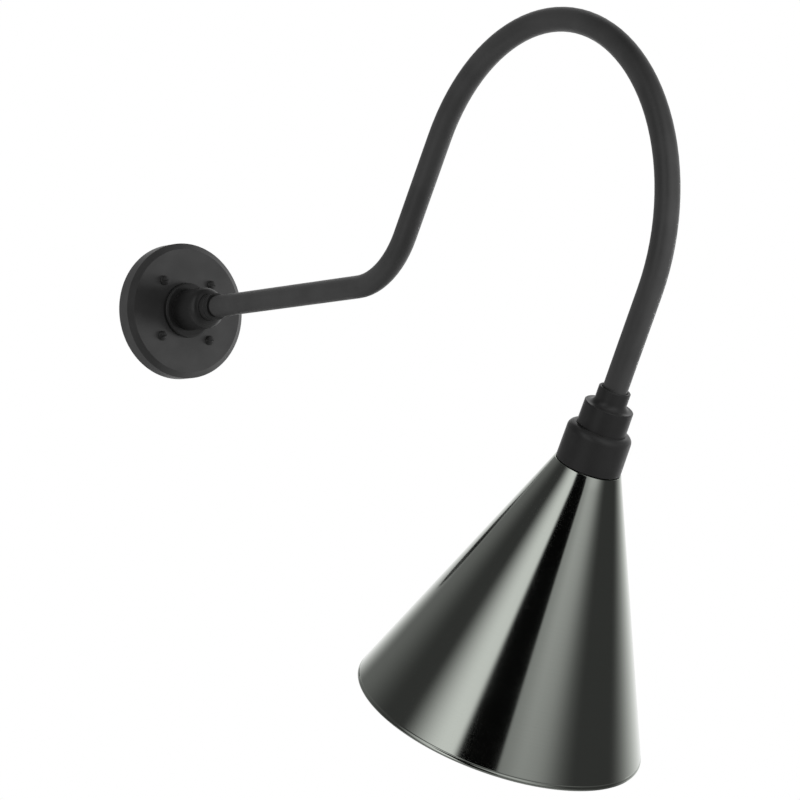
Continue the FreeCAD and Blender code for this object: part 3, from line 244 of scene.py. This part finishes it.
def maths(tree, operation, a, b):
    """A Math node on two sockets or numbers."""
    n = add(tree, "ShaderNodeMath", operation=operation)
    for socket, value in zip(n.inputs, (a, b)):
        if isinstance(value, bpy.types.NodeSocket):
            join(tree, value, socket)
        else:
            socket.default_value = value
    return n.outputs[0]


def ramp(tree, value, start, end, low, high):
    """Runs smoothly from low at start to high at end."""
    n = add(tree, "ShaderNodeMapRange", interpolation_type="SMOOTHSTEP")
    join(tree, value, n.inputs["Value"])
    for socket, setting in (("From Min", start), ("From Max", end), ("To Min", low), ("To Max", high)):
        if isinstance(setting, bpy.types.NodeSocket):
            join(tree, setting, n.inputs[socket])
        else:
            n.inputs[socket].default_value = setting
    return n.outputs["Result"]


def noise(tree, place, scale, detail):
    """Soft noise between 0 and 1."""
    n = add(tree, "ShaderNodeTexNoise", inputs={"Detail": detail})
    join(tree, place, n.inputs["Vector"])
    if isinstance(scale, bpy.types.NodeSocket):
        join(tree, scale, n.inputs["Scale"])
    else:
        n.inputs["Scale"].default_value = scale
    return n.outputs["Fac"]


def new_group(name, inputs, outputs):
    """An empty shader node group; inputs are (name, kind, default), outputs are (name, kind)."""
    tree = bpy.data.node_groups.new(name, "ShaderNodeTree")
    for label, kind, default in inputs:
        socket = tree.interface.new_socket(label, in_out="INPUT", socket_type=kind)
        socket.default_value = default
    for label, kind in outputs:
        tree.interface.new_socket(label, in_out="OUTPUT", socket_type=kind)
    return tree, tree.nodes.new("NodeGroupInput").outputs, tree.nodes.new("NodeGroupOutput").inputs


def varied(tree, fac, value, spread, start=0.35, end=0.65):
    """value less spread where fac is low, and value plus spread where it is high."""
    low = maths(tree, "SUBTRACT", value, spread)
    return ramp(tree, fac, start, end, low, maths(tree, "ADD", value, spread))


def blended(tree, first, second, share):
    """The share of the first and the rest of the second."""
    most = maths(tree, "MULTIPLY", first, share)
    return maths(tree, "ADD", most, maths(tree, "MULTIPLY", second, 1.0 - share))


def shaded(tree, tone, fac, spread):
    """tone made darker or lighter by fac."""
    n = add(tree, "ShaderNodeMix", data_type="RGBA", blend_type="MULTIPLY", inputs={0: 1.0})
    join(tree, tone, n.inputs[6])
    grey = add(tree, "ShaderNodeCombineColor")
    value = varied(tree, fac, 1.0, spread, 0.3, 0.7)
    for socket in grey.inputs:
        join(tree, value, socket)
    join(tree, grey.outputs[0], n.inputs[7])
    return n.outputs[2]


def grain_group():
    """Fine grain over soft patches, for coats, plating, glaze, plastic and glass."""
    tree, given, out = new_group(
        "Grain and patches",
        [
            ("Colour", "NodeSocketColor", (0.5, 0.5, 0.5, 1.0)),
            ("Grain per metre", "NodeSocketFloat", 900.0),
            ("Patches per metre", "NodeSocketFloat", 30.0),
            ("Patch tone", "NodeSocketFloat", 0.06),
            ("Roughness", "NodeSocketFloat", 0.4),
            ("Roughness spread", "NodeSocketFloat", 0.05),
        ],
        [("Colour", "NodeSocketColor"), ("Roughness", "NodeSocketFloat"), ("Height", "NodeSocketFloat")],
    )
    place = add(tree, "ShaderNodeTexCoord").outputs["Object"]
    patches = noise(tree, place, given["Patches per metre"], 3.0)
    grain = noise(tree, place, given["Grain per metre"], 2.0)
    join(tree, shaded(tree, given["Colour"], patches, given["Patch tone"]), out["Colour"])
    mixed = blended(tree, patches, grain, 0.6)
    join(tree, varied(tree, mixed, given["Roughness"], given["Roughness spread"]), out["Roughness"])
    join(tree, grain, out["Height"])
    return tree


def turned_group():
    """Fine rings about the shade's axis, left by spinning, rolling or turning."""
    tree, given, out = new_group(
        "Turned rings",
        [
            ("Colour", "NodeSocketColor", (0.5, 0.5, 0.5, 1.0)),
            ("Rings per metre", "NodeSocketFloat", 900.0),
            ("Ring tone", "NodeSocketFloat", 0.02),
            ("Roughness", "NodeSocketFloat", 0.12),
            ("Roughness spread", "NodeSocketFloat", 0.02),
        ],
        [("Colour", "NodeSocketColor"), ("Roughness", "NodeSocketFloat"), ("Height", "NodeSocketFloat")],
    )
    place = add(tree, "ShaderNodeTexCoord").outputs["Object"]
    along = add(tree, "ShaderNodeVectorMath", operation="DOT_PRODUCT")
    join(tree, place, along.inputs[0])
    along.inputs[1].default_value = AXIS
    rings = add(tree, "ShaderNodeTexNoise", noise_dimensions="1D", inputs={"Detail": 3.0})
    join(tree, along.outputs["Value"], rings.inputs["W"])
    join(tree, given["Rings per metre"], rings.inputs["Scale"])
    haze = noise(tree, place, 25.0, 3.0)
    join(tree, shaded(tree, given["Colour"], rings.outputs["Fac"], given["Ring tone"]), out["Colour"])
    mixed = blended(tree, haze, rings.outputs["Fac"], 0.5)
    join(tree, varied(tree, mixed, given["Roughness"], given["Roughness spread"]), out["Roughness"])
    join(tree, rings.outputs["Fac"], out["Height"])
    return tree


def finish(name, group, tone, bump=0.0, bump_depth=0.0, values=None, **sockets):
    """A material whose colour, roughness and bump come from a group, and the rest from its own sockets."""
    material = bpy.data.materials.new(name)
    material.use_nodes = True
    tree = material.node_tree
    shader = tree.nodes["Principled BSDF"]
    makers = {"Grain and patches": grain_group, "Turned rings": turned_group}
    made = bpy.data.node_groups.get(group) or makers[group]()
    detail = add(tree, "ShaderNodeGroup", node_tree=made)
    detail.inputs["Colour"].default_value = (*tone, 1.0)
    for socket, value in (values or {}).items():
        detail.inputs[socket].default_value = value
    join(tree, detail.outputs["Colour"], shader.inputs["Base Color"])
    join(tree, detail.outputs["Roughness"], shader.inputs["Roughness"])
    if bump:
        relief = add(tree, "ShaderNodeBump", inputs={"Strength": bump, "Distance": bump_depth})
        join(tree, detail.outputs["Height"], relief.inputs["Height"])
        join(tree, relief.outputs["Normal"], shader.inputs["Normal"])
    for socket, value in sockets.items():
        shader.inputs[socket.replace("_", " ")].default_value = value
    return material


def cover(material, *nodes):
    """Gives the material to these CAD nodes."""
    for node in nodes:
        materials = frame["nodes"][node].data.materials
        materials.clear()
        materials.append(material)


def dress(slot, material):
    """Gives the material to every CAD node of the record's slot."""
    parts = frame["record"]["subparts"]
    cover(material, *[part["node"] for part in parts if part["material_slot"] == slot])


# Mesh building ------------------------------------------------------------------------------------


def lathe(name, profile, steps, marks=None, radius_at=None):
    """Turns a closed profile of (radius, distance along the axis) round the shade's axis.

    marks are material numbers, one for each run of the profile. radius_at may change a radius with
    the angle, for threads.
    """
    mesh = bpy.data.meshes.new(name)
    shape = bmesh.new()
    rings = []
    for radius, along in profile:
        ring = []
        for i in range(steps):
            turn = 2 * math.pi * i / steps
            r = radius_at(radius, along, turn) if radius_at else radius
            ring.append(shape.verts.new(AXIS_FRAME @ Vector((r * math.cos(turn), r * math.sin(turn), along))))
        rings.append(ring)
    for k in range(len(rings)):
        a, b = rings[k], rings[(k + 1) % len(rings)]
        for i in range(steps):
            j = (i + 1) % steps
            face = shape.faces.new((a[i], a[j], b[j], b[i]))
            face.smooth = True
            face.material_index = marks[k] if marks else 0
    bmesh.ops.recalc_face_normals(shape, faces=shape.faces)
    shape.to_mesh(mesh)
    shape.free()
    piece = bpy.data.objects.new(name, mesh)
    bpy.context.scene.collection.objects.link(piece)
    return piece


def span(node):
    """Where a CAD node starts and ends along the shade's axis."""
    to_axis = AXIS_FRAME.inverted()
    along = [(to_axis @ v.co).z for v in frame["nodes"][node].data.vertices]
    return min(along), max(along)


def straight(start, end, count):
    """count + 1 points on a straight run in the profile's plane."""
    return [
        (start[0] + (end[0] - start[0]) * i / count, start[1] + (end[1] - start[1]) * i / count)
        for i in range(count + 1)
    ]


def arc(centre, radius, start, end, count):
    """Points on an arc in the profile's plane, angles in degrees from the outward direction."""
    points = []
    for i in range(count + 1):
        a = math.radians(start + (end - start) * i / count)
        points.append((centre[0] + radius * math.cos(a), centre[1] + radius * math.sin(a)))
    return points


# Pieces -------------------------------------------------------------------------------------------


class SCONCE_OT_coated_pieces(bpy.types.Operator):
    """Gives the canopy and arm their satin black powder coat, and the hub, collar, socket cap, cup and canopy
    screws a darker copy of it
    """

    bl_idname = "sconce.coated_pieces"
    bl_label = "Black coated pieces"

    def execute(self, context):
        finishes = context.scene.sconce_finishes
        for name, tone, rough, pieces in (
            ("satin_black_coat", finishes.coat, 0.45, ("canopy", "arm_tube")),
            # The same coat again, only darker, on the hub, collar, cap, cup and screws.
            (
                "darker_satin_black", finishes.darker_coat, 0.4,
                ("hub", "arm_collar", "socket_cap", "socket_cup", "canopy_screws"),
            ),
        ):
            coat = finish(
                name, "Grain and patches", tone, bump=0.25, bump_depth=0.00005,
                values={
                    "Grain per metre": 1100.0, "Patches per metre": 35.0, "Patch tone": 0.1,
                    "Roughness": rough, "Roughness spread": 0.05,
                },
            )
            cover(coat, *pieces)
        return {"FINISHED"}


class SCONCE_OT_shade(bpy.types.Operator):
    """Spins the cone shade: polished nickel outside, white enamel inside, rolled in at the rim"""

    bl_idname = "sconce.shade"
    bl_label = "Shade"

    def execute(self, context):
        finishes, sizes = context.scene.sconce_finishes, context.scene.sconce_shade
        top, end = sizes.top, sizes.top + sizes.height
        slope = math.atan2(sizes.rim_radius - sizes.top_radius, sizes.height)
        s, c, t = math.sin(slope), math.cos(slope), math.tan(slope)
        roll, wall, corner = sizes.roll, sizes.wall, sizes.corner
        degrees = math.degrees(slope)
        roll_centre = (sizes.rim_radius - roll * t - roll, end - roll)
        # The rounded edge between the flat top and the cone.
        along = top + corner
        corner_centre = (sizes.top_radius + corner * t - corner / c, along)
        edge = arc(corner_centre, corner, -90.0, -degrees, 6)

        def above_roll(back, deep):
            """A point this far up the cone from the rolled edge, and this deep in its surface."""
            return (
                roll_centre[0] + (roll - deep) * c - back * s,
                roll_centre[1] - (roll - deep) * s - back * c,
            )

        outer = edge + straight(edge[-1], above_roll(0.0, 0.0), CONE_ROWS)[1:-1]
        # The crease that the spinning roller leaves, between points that keep the cone straight.
        crease, width, depth = sizes.crease, sizes.crease_width, sizes.crease_depth
        for widths, deep in ((3, 0.0), (2, 0.0), (1, depth), (-1, depth), (-2, 0.0)):
            outer.append(above_roll(crease + widths * width, deep))
        outer.append(above_roll(sizes.land, 0.0))
        curl = arc(roll_centre, roll, -degrees, ROLL_END, 20)
        inset = wall / c
        lining_start = roll * LINING_START
        inner = straight(
            (sizes.rim_radius - inset - lining_start * t, end - lining_start),
            (sizes.top_radius - inset + wall * t, top + wall),
            LINING_ROWS,
        )
        neck = [(sizes.neck_radius, top + wall), (sizes.neck_radius, top)]
        profile = outer + curl + inner + neck
        marks = [0] * (len(outer) + len(curl) - 1) + [1] * (len(inner) + 1) + [0, 0]
        piece = lathe("spun_shade", profile, sizes.steps, marks)
        piece.data.materials.append(finish(
            "polished_nickel", "Turned rings", finishes.nickel, bump=0.02, bump_depth=0.00002,
            values={
                "Rings per metre": 1400.0, "Ring tone": 0.015, "Roughness": 0.1,
                "Roughness spread": 0.02,
            },
            Metallic=1.0,
        ))
        piece.data.materials.append(finish(
            "white_enamel", "Grain and patches", finishes.enamel, bump=0.1, bump_depth=0.00005,
            values={
                "Grain per metre": 500.0, "Patches per metre": 20.0, "Patch tone": 0.02,
                "Roughness": 0.3,
            },
        ))
        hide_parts("shade")
        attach(piece, "fixture")
        return {"FINISHED"}


class SCONCE_OT_fittings(bpy.types.Operator):
    """Finishes the bracket, nuts, washer, stem, strap and the earth screw"""

    bl_idname = "sconce.fittings"
    bl_label = "Steel fittings"

    def execute(self, context):
        finishes = context.scene.sconce_finishes
        dress("zinc_steel", finish(
            "zinc_plate", "Grain and patches", finishes.zinc, bump=0.15, bump_depth=0.00003,
            values={
                "Grain per metre": 2400.0, "Patches per metre": 90.0, "Patch tone": 0.08,
                "Roughness": 0.34, "Roughness spread": 0.08,
            },
            Metallic=1.0,
        ))
        dress("green_steel", finish(
            "green_zinc", "Grain and patches", finishes.earth_green, bump=0.1, bump_depth=0.00003,
            values={
                "Grain per metre": 2400.0, "Patches per metre": 200.0, "Patch tone": 0.12,
                "Roughness": 0.36,
            },
            Metallic=0.6,
        ))
        return {"FINISHED"}


class SCONCE_OT_wiring(bpy.types.Operator):
    """Finishes the leads, their terminals and the wire connectors"""

    bl_idname = "sconce.wiring"
    bl_label = "Wiring"

    def execute(self, context):
        finishes = context.scene.sconce_finishes
        for slot, tone in (
            ("black_insulation", finishes.line),
            ("white_insulation", finishes.neutral),
            ("green_insulation", finishes.earth),
        ):
            dress(slot, finish(
                slot, "Grain and patches", tone, bump=0.1, bump_depth=0.00002,
                values={
                    "Grain per metre": 1500.0, "Patches per metre": 60.0, "Patch tone": 0.05,
                    "Roughness": 0.3,
                },
            ))
        dress("connector_plastic", finish(
            "connector_plastic", "Grain and patches", finishes.connector, bump=0.3, bump_depth=0.00005,
            values={
                "Grain per metre": 2000.0, "Patches per metre": 80.0, "Patch tone": 0.05,
                "Roughness": 0.5,
            },
        ))
        dress("tinned_copper", finish(
            "tinned_copper", "Grain and patches", finishes.tin, bump=0.1, bump_depth=0.00002,
            values={
                "Grain per metre": 2600.0, "Patches per metre": 150.0, "Patch tone": 0.08,
                "Roughness": 0.3,
            },
            Metallic=1.0,
        ))
        return {"FINISHED"}


class SCONCE_OT_socket(bpy.types.Operator):
    """Finishes the porcelain, its ring, the screw shell and the contacts"""

    bl_idname = "sconce.socket"
    bl_label = "Socket"

    def execute(self, context):
        finishes = context.scene.sconce_finishes
        dress("porcelain", finish(
            "glazed_porcelain", "Grain and patches", finishes.glaze, bump=0.12, bump_depth=0.0001,
            values={
                "Grain per metre": 350.0, "Patches per metre": 40.0, "Patch tone": 0.03,
                "Roughness": 0.16,
            },
            Coat_Weight=0.4,
        ))
        dress("nickel_brass", finish(
            "plated_brass", "Turned rings", finishes.brass, bump=0.1, bump_depth=0.00002,
            values={
                "Rings per metre": 2600.0, "Ring tone": 0.05, "Roughness": 0.25,
                "Roughness spread": 0.05,
            },
            Metallic=1.0,
        ))
        return {"FINISHED"}


def roll_base(sizes):
    """The lamp's base: a cone at its foot, a rolled round thread and a plain skirt, in thin sheet."""
    start, end = span("lamp_base")
    foot, metal, lip = sizes.foot_radius, sizes.metal, sizes.lip
    shoulder = start + sizes.shoulder
    first, last = shoulder + sizes.plain, end - sizes.plain
    rows = int((end - shoulder) / sizes.pitch * sizes.rows)
    outer = [(foot, start), (foot + lip, start), (sizes.base_radius - lip, shoulder - sizes.turn_in)]
    outer += straight((sizes.base_radius, shoulder), (sizes.base_radius, end), rows)
    inner = [(r - metal, max(a, start + metal)) for r, a in reversed(outer[1:])]
    half = sizes.thread_depth / 2

    def radius_at(radius, along, turn):
        """The radius with the thread's wave, which fades out at both ends."""
        strength = min(1.0, max(0.0, (along - first) / sizes.pitch), max(0.0, (last - along) / sizes.pitch))
        return radius - half * strength * (1.0 - math.cos(2 * math.pi * along / sizes.pitch - turn))

    return lathe("rolled_lamp_base", outer + inner, sizes.facets, radius_at=radius_at)


class SCONCE_OT_lamp(bpy.types.Operator):
    """Finishes the lamp: frosted bulb, mount, filament and threaded base"""

    bl_idname = "sconce.lamp"
    bl_label = "Lamp"

    def execute(self, context):
        finishes = context.scene.sconce_finishes
        dress("frosted_glass", finish(
            "frosted_glass", "Grain and patches", finishes.bulb, bump=0.05, bump_depth=0.00003,
            values={
                "Grain per metre": 1800.0, "Patches per metre": 60.0, "Patch tone": 0.015,
                "Roughness": 0.38, "Roughness spread": 0.04,
            },
            Transmission_Weight=0.75, IOR=1.5,
        ))
        dress("clear_glass", finish(
            "clear_glass", "Grain and patches", finishes.mount,
            values={
                "Grain per metre": 900.0, "Patches per metre": 90.0, "Patch tone": 0.02,
                "Roughness": 0.04, "Roughness spread": 0.02,
            },
            Transmission_Weight=1.0, IOR=1.5,
        ))
        dress("black_glass", finish(
            "black_glass", "Grain and patches", finishes.insulator, bump=0.1, bump_depth=0.00005,
            values={
                "Grain per metre": 1200.0, "Patches per metre": 150.0, "Patch tone": 0.1,
                "Roughness": 0.15,
            },
        ))
        metal = finish(
            "rolled_aluminium", "Turned rings", finishes.base, bump=0.15, bump_depth=0.00002,
            values={
                "Rings per metre": 3000.0, "Ring tone": 0.04, "Roughness": 0.28,
                "Roughness spread": 0.05,
            },
            Metallic=1.0,
        )
        dress("lamp_metal", metal)
        base = roll_base(context.scene.sconce_lamp)
        base.data.materials.append(metal)
        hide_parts("lamp_base")
        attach(base, "lamp")
        dress("tungsten", finish(
            "tungsten", "Grain and patches", finishes.tungsten, bump=0.3, bump_depth=0.00003,
            values={
                "Grain per metre": 6000.0, "Patches per metre": 800.0, "Patch tone": 0.1,
                "Roughness": 0.45,
            },
            Metallic=1.0,
        ))
        return {"FINISHED"}


# Studio -------------------------------------------------------------------------------------------


def panel_group():
    """The level of one soft panel of the studio, seen in a direction."""
    tree, given, out = new_group(
        "Studio panel",
        [
            (label, "NodeSocketFloat", 0.0)
            for label in ("Around", "Rise start", "Rise end", "Fall start", "Fall end", "Level")
        ],
        [("Level", "NodeSocketFloat")],
    )
    rise = ramp(tree, given["Around"], given["Rise start"], given["Rise end"], 0.0, 1.0)
    fall = ramp(tree, given["Around"], given["Fall start"], given["Fall end"], 1.0, 0.0)
    both = maths(tree, "MULTIPLY", rise, fall)
    join(tree, maths(tree, "MULTIPLY", both, given["Level"]), out["Level"])
    return tree


def panel(tree, around, rise_start, rise_end, fall_start, fall_end, strength):
    """One panel; the angles are in degrees round the vertical."""
    made = bpy.data.node_groups.get("Studio panel") or panel_group()
    n = add(tree, "ShaderNodeGroup", node_tree=made)
    join(tree, around, n.inputs["Around"])
    for socket, value in zip(list(n.inputs)[1:5], (rise_start, rise_end, fall_start, fall_end)):
        socket.default_value = math.radians(value)
    n.inputs["Level"].default_value = strength
    return n.outputs["Level"]


def make_world(studio):
    """White to the camera and through glass, an even level on matt surfaces, soft panels in gloss."""
    world = bpy.data.worlds.new("studio")
    bpy.context.scene.world = world
    world.use_nodes = True
    world.cycles.sampling_method = "NONE"
    tree = world.node_tree
    direction = add(tree, "ShaderNodeTexCoord").outputs["Generated"]
    parts = add(tree, "ShaderNodeSeparateXYZ")
    join(tree, direction, parts.inputs[0])
    x, y, z = parts.outputs
    front = maths(tree, "ARCTAN2", x, maths(tree, "MULTIPLY", y, -1.0))
    rear = maths(tree, "ARCTAN2", maths(tree, "MULTIPLY", x, -1.0), y)
    panels = [panel(tree, front, *LEFT_PANEL)]
    panels += [panel(tree, rear, *one) for one in REAR_PANELS]
    right_panel = maths(tree, "ADD", *[panel(tree, front, *one) for one in RIGHT_PANELS])
    panels.append(maths(tree, "MULTIPLY", right_panel, ramp(tree, z, *RIGHT_PANELS_DIM)))
    flag = panel(tree, front, *BLACK_FLAG)
    total = maths(tree, "MULTIPLY", maths(tree, "SUBTRACT", 1.0, flag), studio.dark)
    for one in panels:
        total = maths(tree, "ADD", total, one)
    above = ramp(tree, z, *CEILING_STARTS)
    around = maths(tree, "MULTIPLY", total, maths(tree, "SUBTRACT", 1.0, above))
    gloss_level = maths(tree, "ADD", around, maths(tree, "MULTIPLY", above, studio.ceiling))
    rays = add(tree, "ShaderNodeLightPath")
    seen = maths(tree, "MAXIMUM", rays.outputs["Is Camera Ray"], rays.outputs["Is Transmission Ray"])
    gloss = maths(tree, "MULTIPLY", rays.outputs["Is Glossy Ray"], maths(tree, "SUBTRACT", 1.0, seen))
    matt = maths(tree, "SUBTRACT", maths(tree, "SUBTRACT", 1.0, seen), gloss)
    strength = maths(tree, "ADD", seen, maths(tree, "MULTIPLY", gloss, gloss_level))
    strength = maths(tree, "ADD", strength, maths(tree, "MULTIPLY", matt, studio.room))
    shader = tree.nodes["Background"]
    shader.inputs["Color"].default_value = (1.0, 1.0, 1.0, 1.0)
    join(tree, strength, shader.inputs["Strength"])


def make_lamp_panel(name, place, target, size, power):
    """A soft area lamp that points at a target and stays out of the gloss."""
    data = bpy.data.lights.new(name, "AREA")
    data.shape = "SQUARE"
    data.size = size
    data.energy = power
    lamp = bpy.data.objects.new(name, data)
    bpy.context.scene.collection.objects.link(lamp)
    lamp.location = place
    lamp.rotation_mode = "QUATERNION"
    lamp.rotation_quaternion = (Vector(place) - Vector(target)).to_track_quat("Z", "Y")
    lamp.visible_glossy = False
    lamp.visible_camera = False


def make_floor(studio, tone):
    """A pale disc under the light that keeps its shadow and fades to the white background."""
    mesh = bpy.data.meshes.new("floor")
    shape = bmesh.new()
    bmesh.ops.create_circle(shape, cap_ends=True, segments=128, radius=studio.floor_radius)
    shape.to_mesh(mesh)
    shape.free()
    floor = bpy.data.objects.new("floor", mesh)
    bpy.context.scene.collection.objects.link(floor)
    middle = (CAD_BOX[0] + CAD_BOX[1]) / 2
    floor.location = (middle.x, middle.y, -studio.floor_height)
    material = finish(
        "pale_floor", "Grain and patches", tone,
        values={
            "Grain per metre": 60.0, "Patches per metre": 1.5, "Patch tone": 0.01,
            "Roughness": 0.8,
        },
    )
    tree = material.node_tree
    spot = add(tree, "ShaderNodeVectorMath", operation="LENGTH")
    join(tree, add(tree, "ShaderNodeTexCoord").outputs["Object"], spot.inputs[0])
    fade = [studio.floor_radius * share for share in FLOOR_FADE]
    edge = ramp(tree, spot.outputs["Value"], *fade, 0.0, 1.0)
    rays = add(tree, "ShaderNodeLightPath")
    seen = maths(tree, "MAXIMUM", rays.outputs["Is Camera Ray"], rays.outputs["Is Transmission Ray"])
    white = add(tree, "ShaderNodeEmission")
    mixer = add(tree, "ShaderNodeMixShader")
    join(tree, maths(tree, "MULTIPLY", edge, seen), mixer.inputs[0])
    unseen = add(tree, "ShaderNodeMixShader")
    shade = add(tree, "ShaderNodeBsdfDiffuse", inputs={"Color": (*[studio.off_stage] * 3, 1.0)})
    join(tree, seen, unseen.inputs[0])
    join(tree, shade.outputs[0], unseen.inputs[1])
    join(tree, tree.nodes["Principled BSDF"].outputs[0], mixer.inputs[1])
    join(tree, white.outputs[0], mixer.inputs[2])
    join(tree, mixer.outputs[0], unseen.inputs[2])
    # Nothing hides the light from a camera below the floor.
    from_below = add(tree, "ShaderNodeMixShader")
    join(tree, add(tree, "ShaderNodeNewGeometry").outputs["Backfacing"], from_below.inputs[0])
    join(tree, unseen.outputs[0], from_below.inputs[1])
    join(tree, add(tree, "ShaderNodeBsdfTransparent").outputs[0], from_below.inputs[2])
    join(tree, from_below.outputs[0], tree.nodes["Material Output"].inputs["Surface"])
    floor.data.materials.append(material)


def make_camera(studio):
    """The camera at the photograph's viewing angle."""
    a, e = studio.azimuth, studio.elevation
    back = Vector((math.sin(a) * math.cos(e), -math.cos(a) * math.cos(e), math.sin(e)))
    right = (-back).cross(Vector((0, 0, 1))).normalized()
    up = right.cross(-back)
    c, s = math.cos(studio.roll), math.sin(studio.roll)
    data = bpy.data.cameras.new("camera")
    data.lens = studio.lens
    data.sensor_width = 36.0
    data.clip_start, data.clip_end = 0.05, 60.0
    camera = bpy.data.objects.new("camera", data)
    bpy.context.scene.collection.objects.link(camera)
    turn = Matrix((right * c + up * s, up * c - right * s, back)).transposed().to_4x4()
    camera.matrix_world = Matrix.Translation(studio.place) @ turn
    bpy.context.scene.camera = camera


class SCONCE_OT_studio(bpy.types.Operator):
    """Makes the camera, the lamps, the surroundings and the floor"""

    bl_idname = "sconce.studio"
    bl_label = "Studio"

    def execute(self, context):
        studio = context.scene.sconce_studio
        context.scene.view_settings.view_transform = "Standard"
        make_camera(studio)
        make_world(studio)
        for lamp in LAMPS:
            make_lamp_panel(*lamp)
        make_floor(studio, context.scene.sconce_finishes.floor)
        return {"FINISHED"}


class SCONCE_PT_steps(bpy.types.Panel):
    """Lists the steps in the sidebar"""

    bl_idname = "SCONCE_PT_steps"
    bl_label = "Sconce"
    bl_space_type = "VIEW_3D"
    bl_region_type = "UI"
    bl_category = "Sconce"

    def draw(self, context):
        for step in STEPS:
            self.layout.operator(step.bl_idname)


STEPS = (
    SCONCE_OT_coated_pieces,
    SCONCE_OT_shade,
    SCONCE_OT_fittings,
    SCONCE_OT_wiring,
    SCONCE_OT_socket,
    SCONCE_OT_lamp,
    SCONCE_OT_studio,
)
GROUPS = (
    ("sconce_finishes", SconceFinishes),
    ("sconce_shade", SconceShade),
    ("sconce_lamp", SconceLamp),
    ("sconce_studio", SconceStudio),
)


def register():
    for name, group in GROUPS:
        bpy.utils.register_class(group)
        setattr(bpy.types.Scene, name, PointerProperty(type=group))
    for cls in (*STEPS, SCONCE_PT_steps):
        bpy.utils.register_class(cls)


def unregister():
    for cls in reversed((*STEPS, SCONCE_PT_steps)):
        bpy.utils.unregister_class(cls)
    for name, group in reversed(GROUPS):
        delattr(bpy.types.Scene, name)
        bpy.utils.unregister_class(group)


def main():
    register()
    bpy.ops.sconce.coated_pieces()
    bpy.ops.sconce.shade()
    bpy.ops.sconce.fittings()
    bpy.ops.sconce.wiring()
    bpy.ops.sconce.socket()
    bpy.ops.sconce.lamp()
    bpy.ops.sconce.studio()


if __name__ == "__main__":
    main()
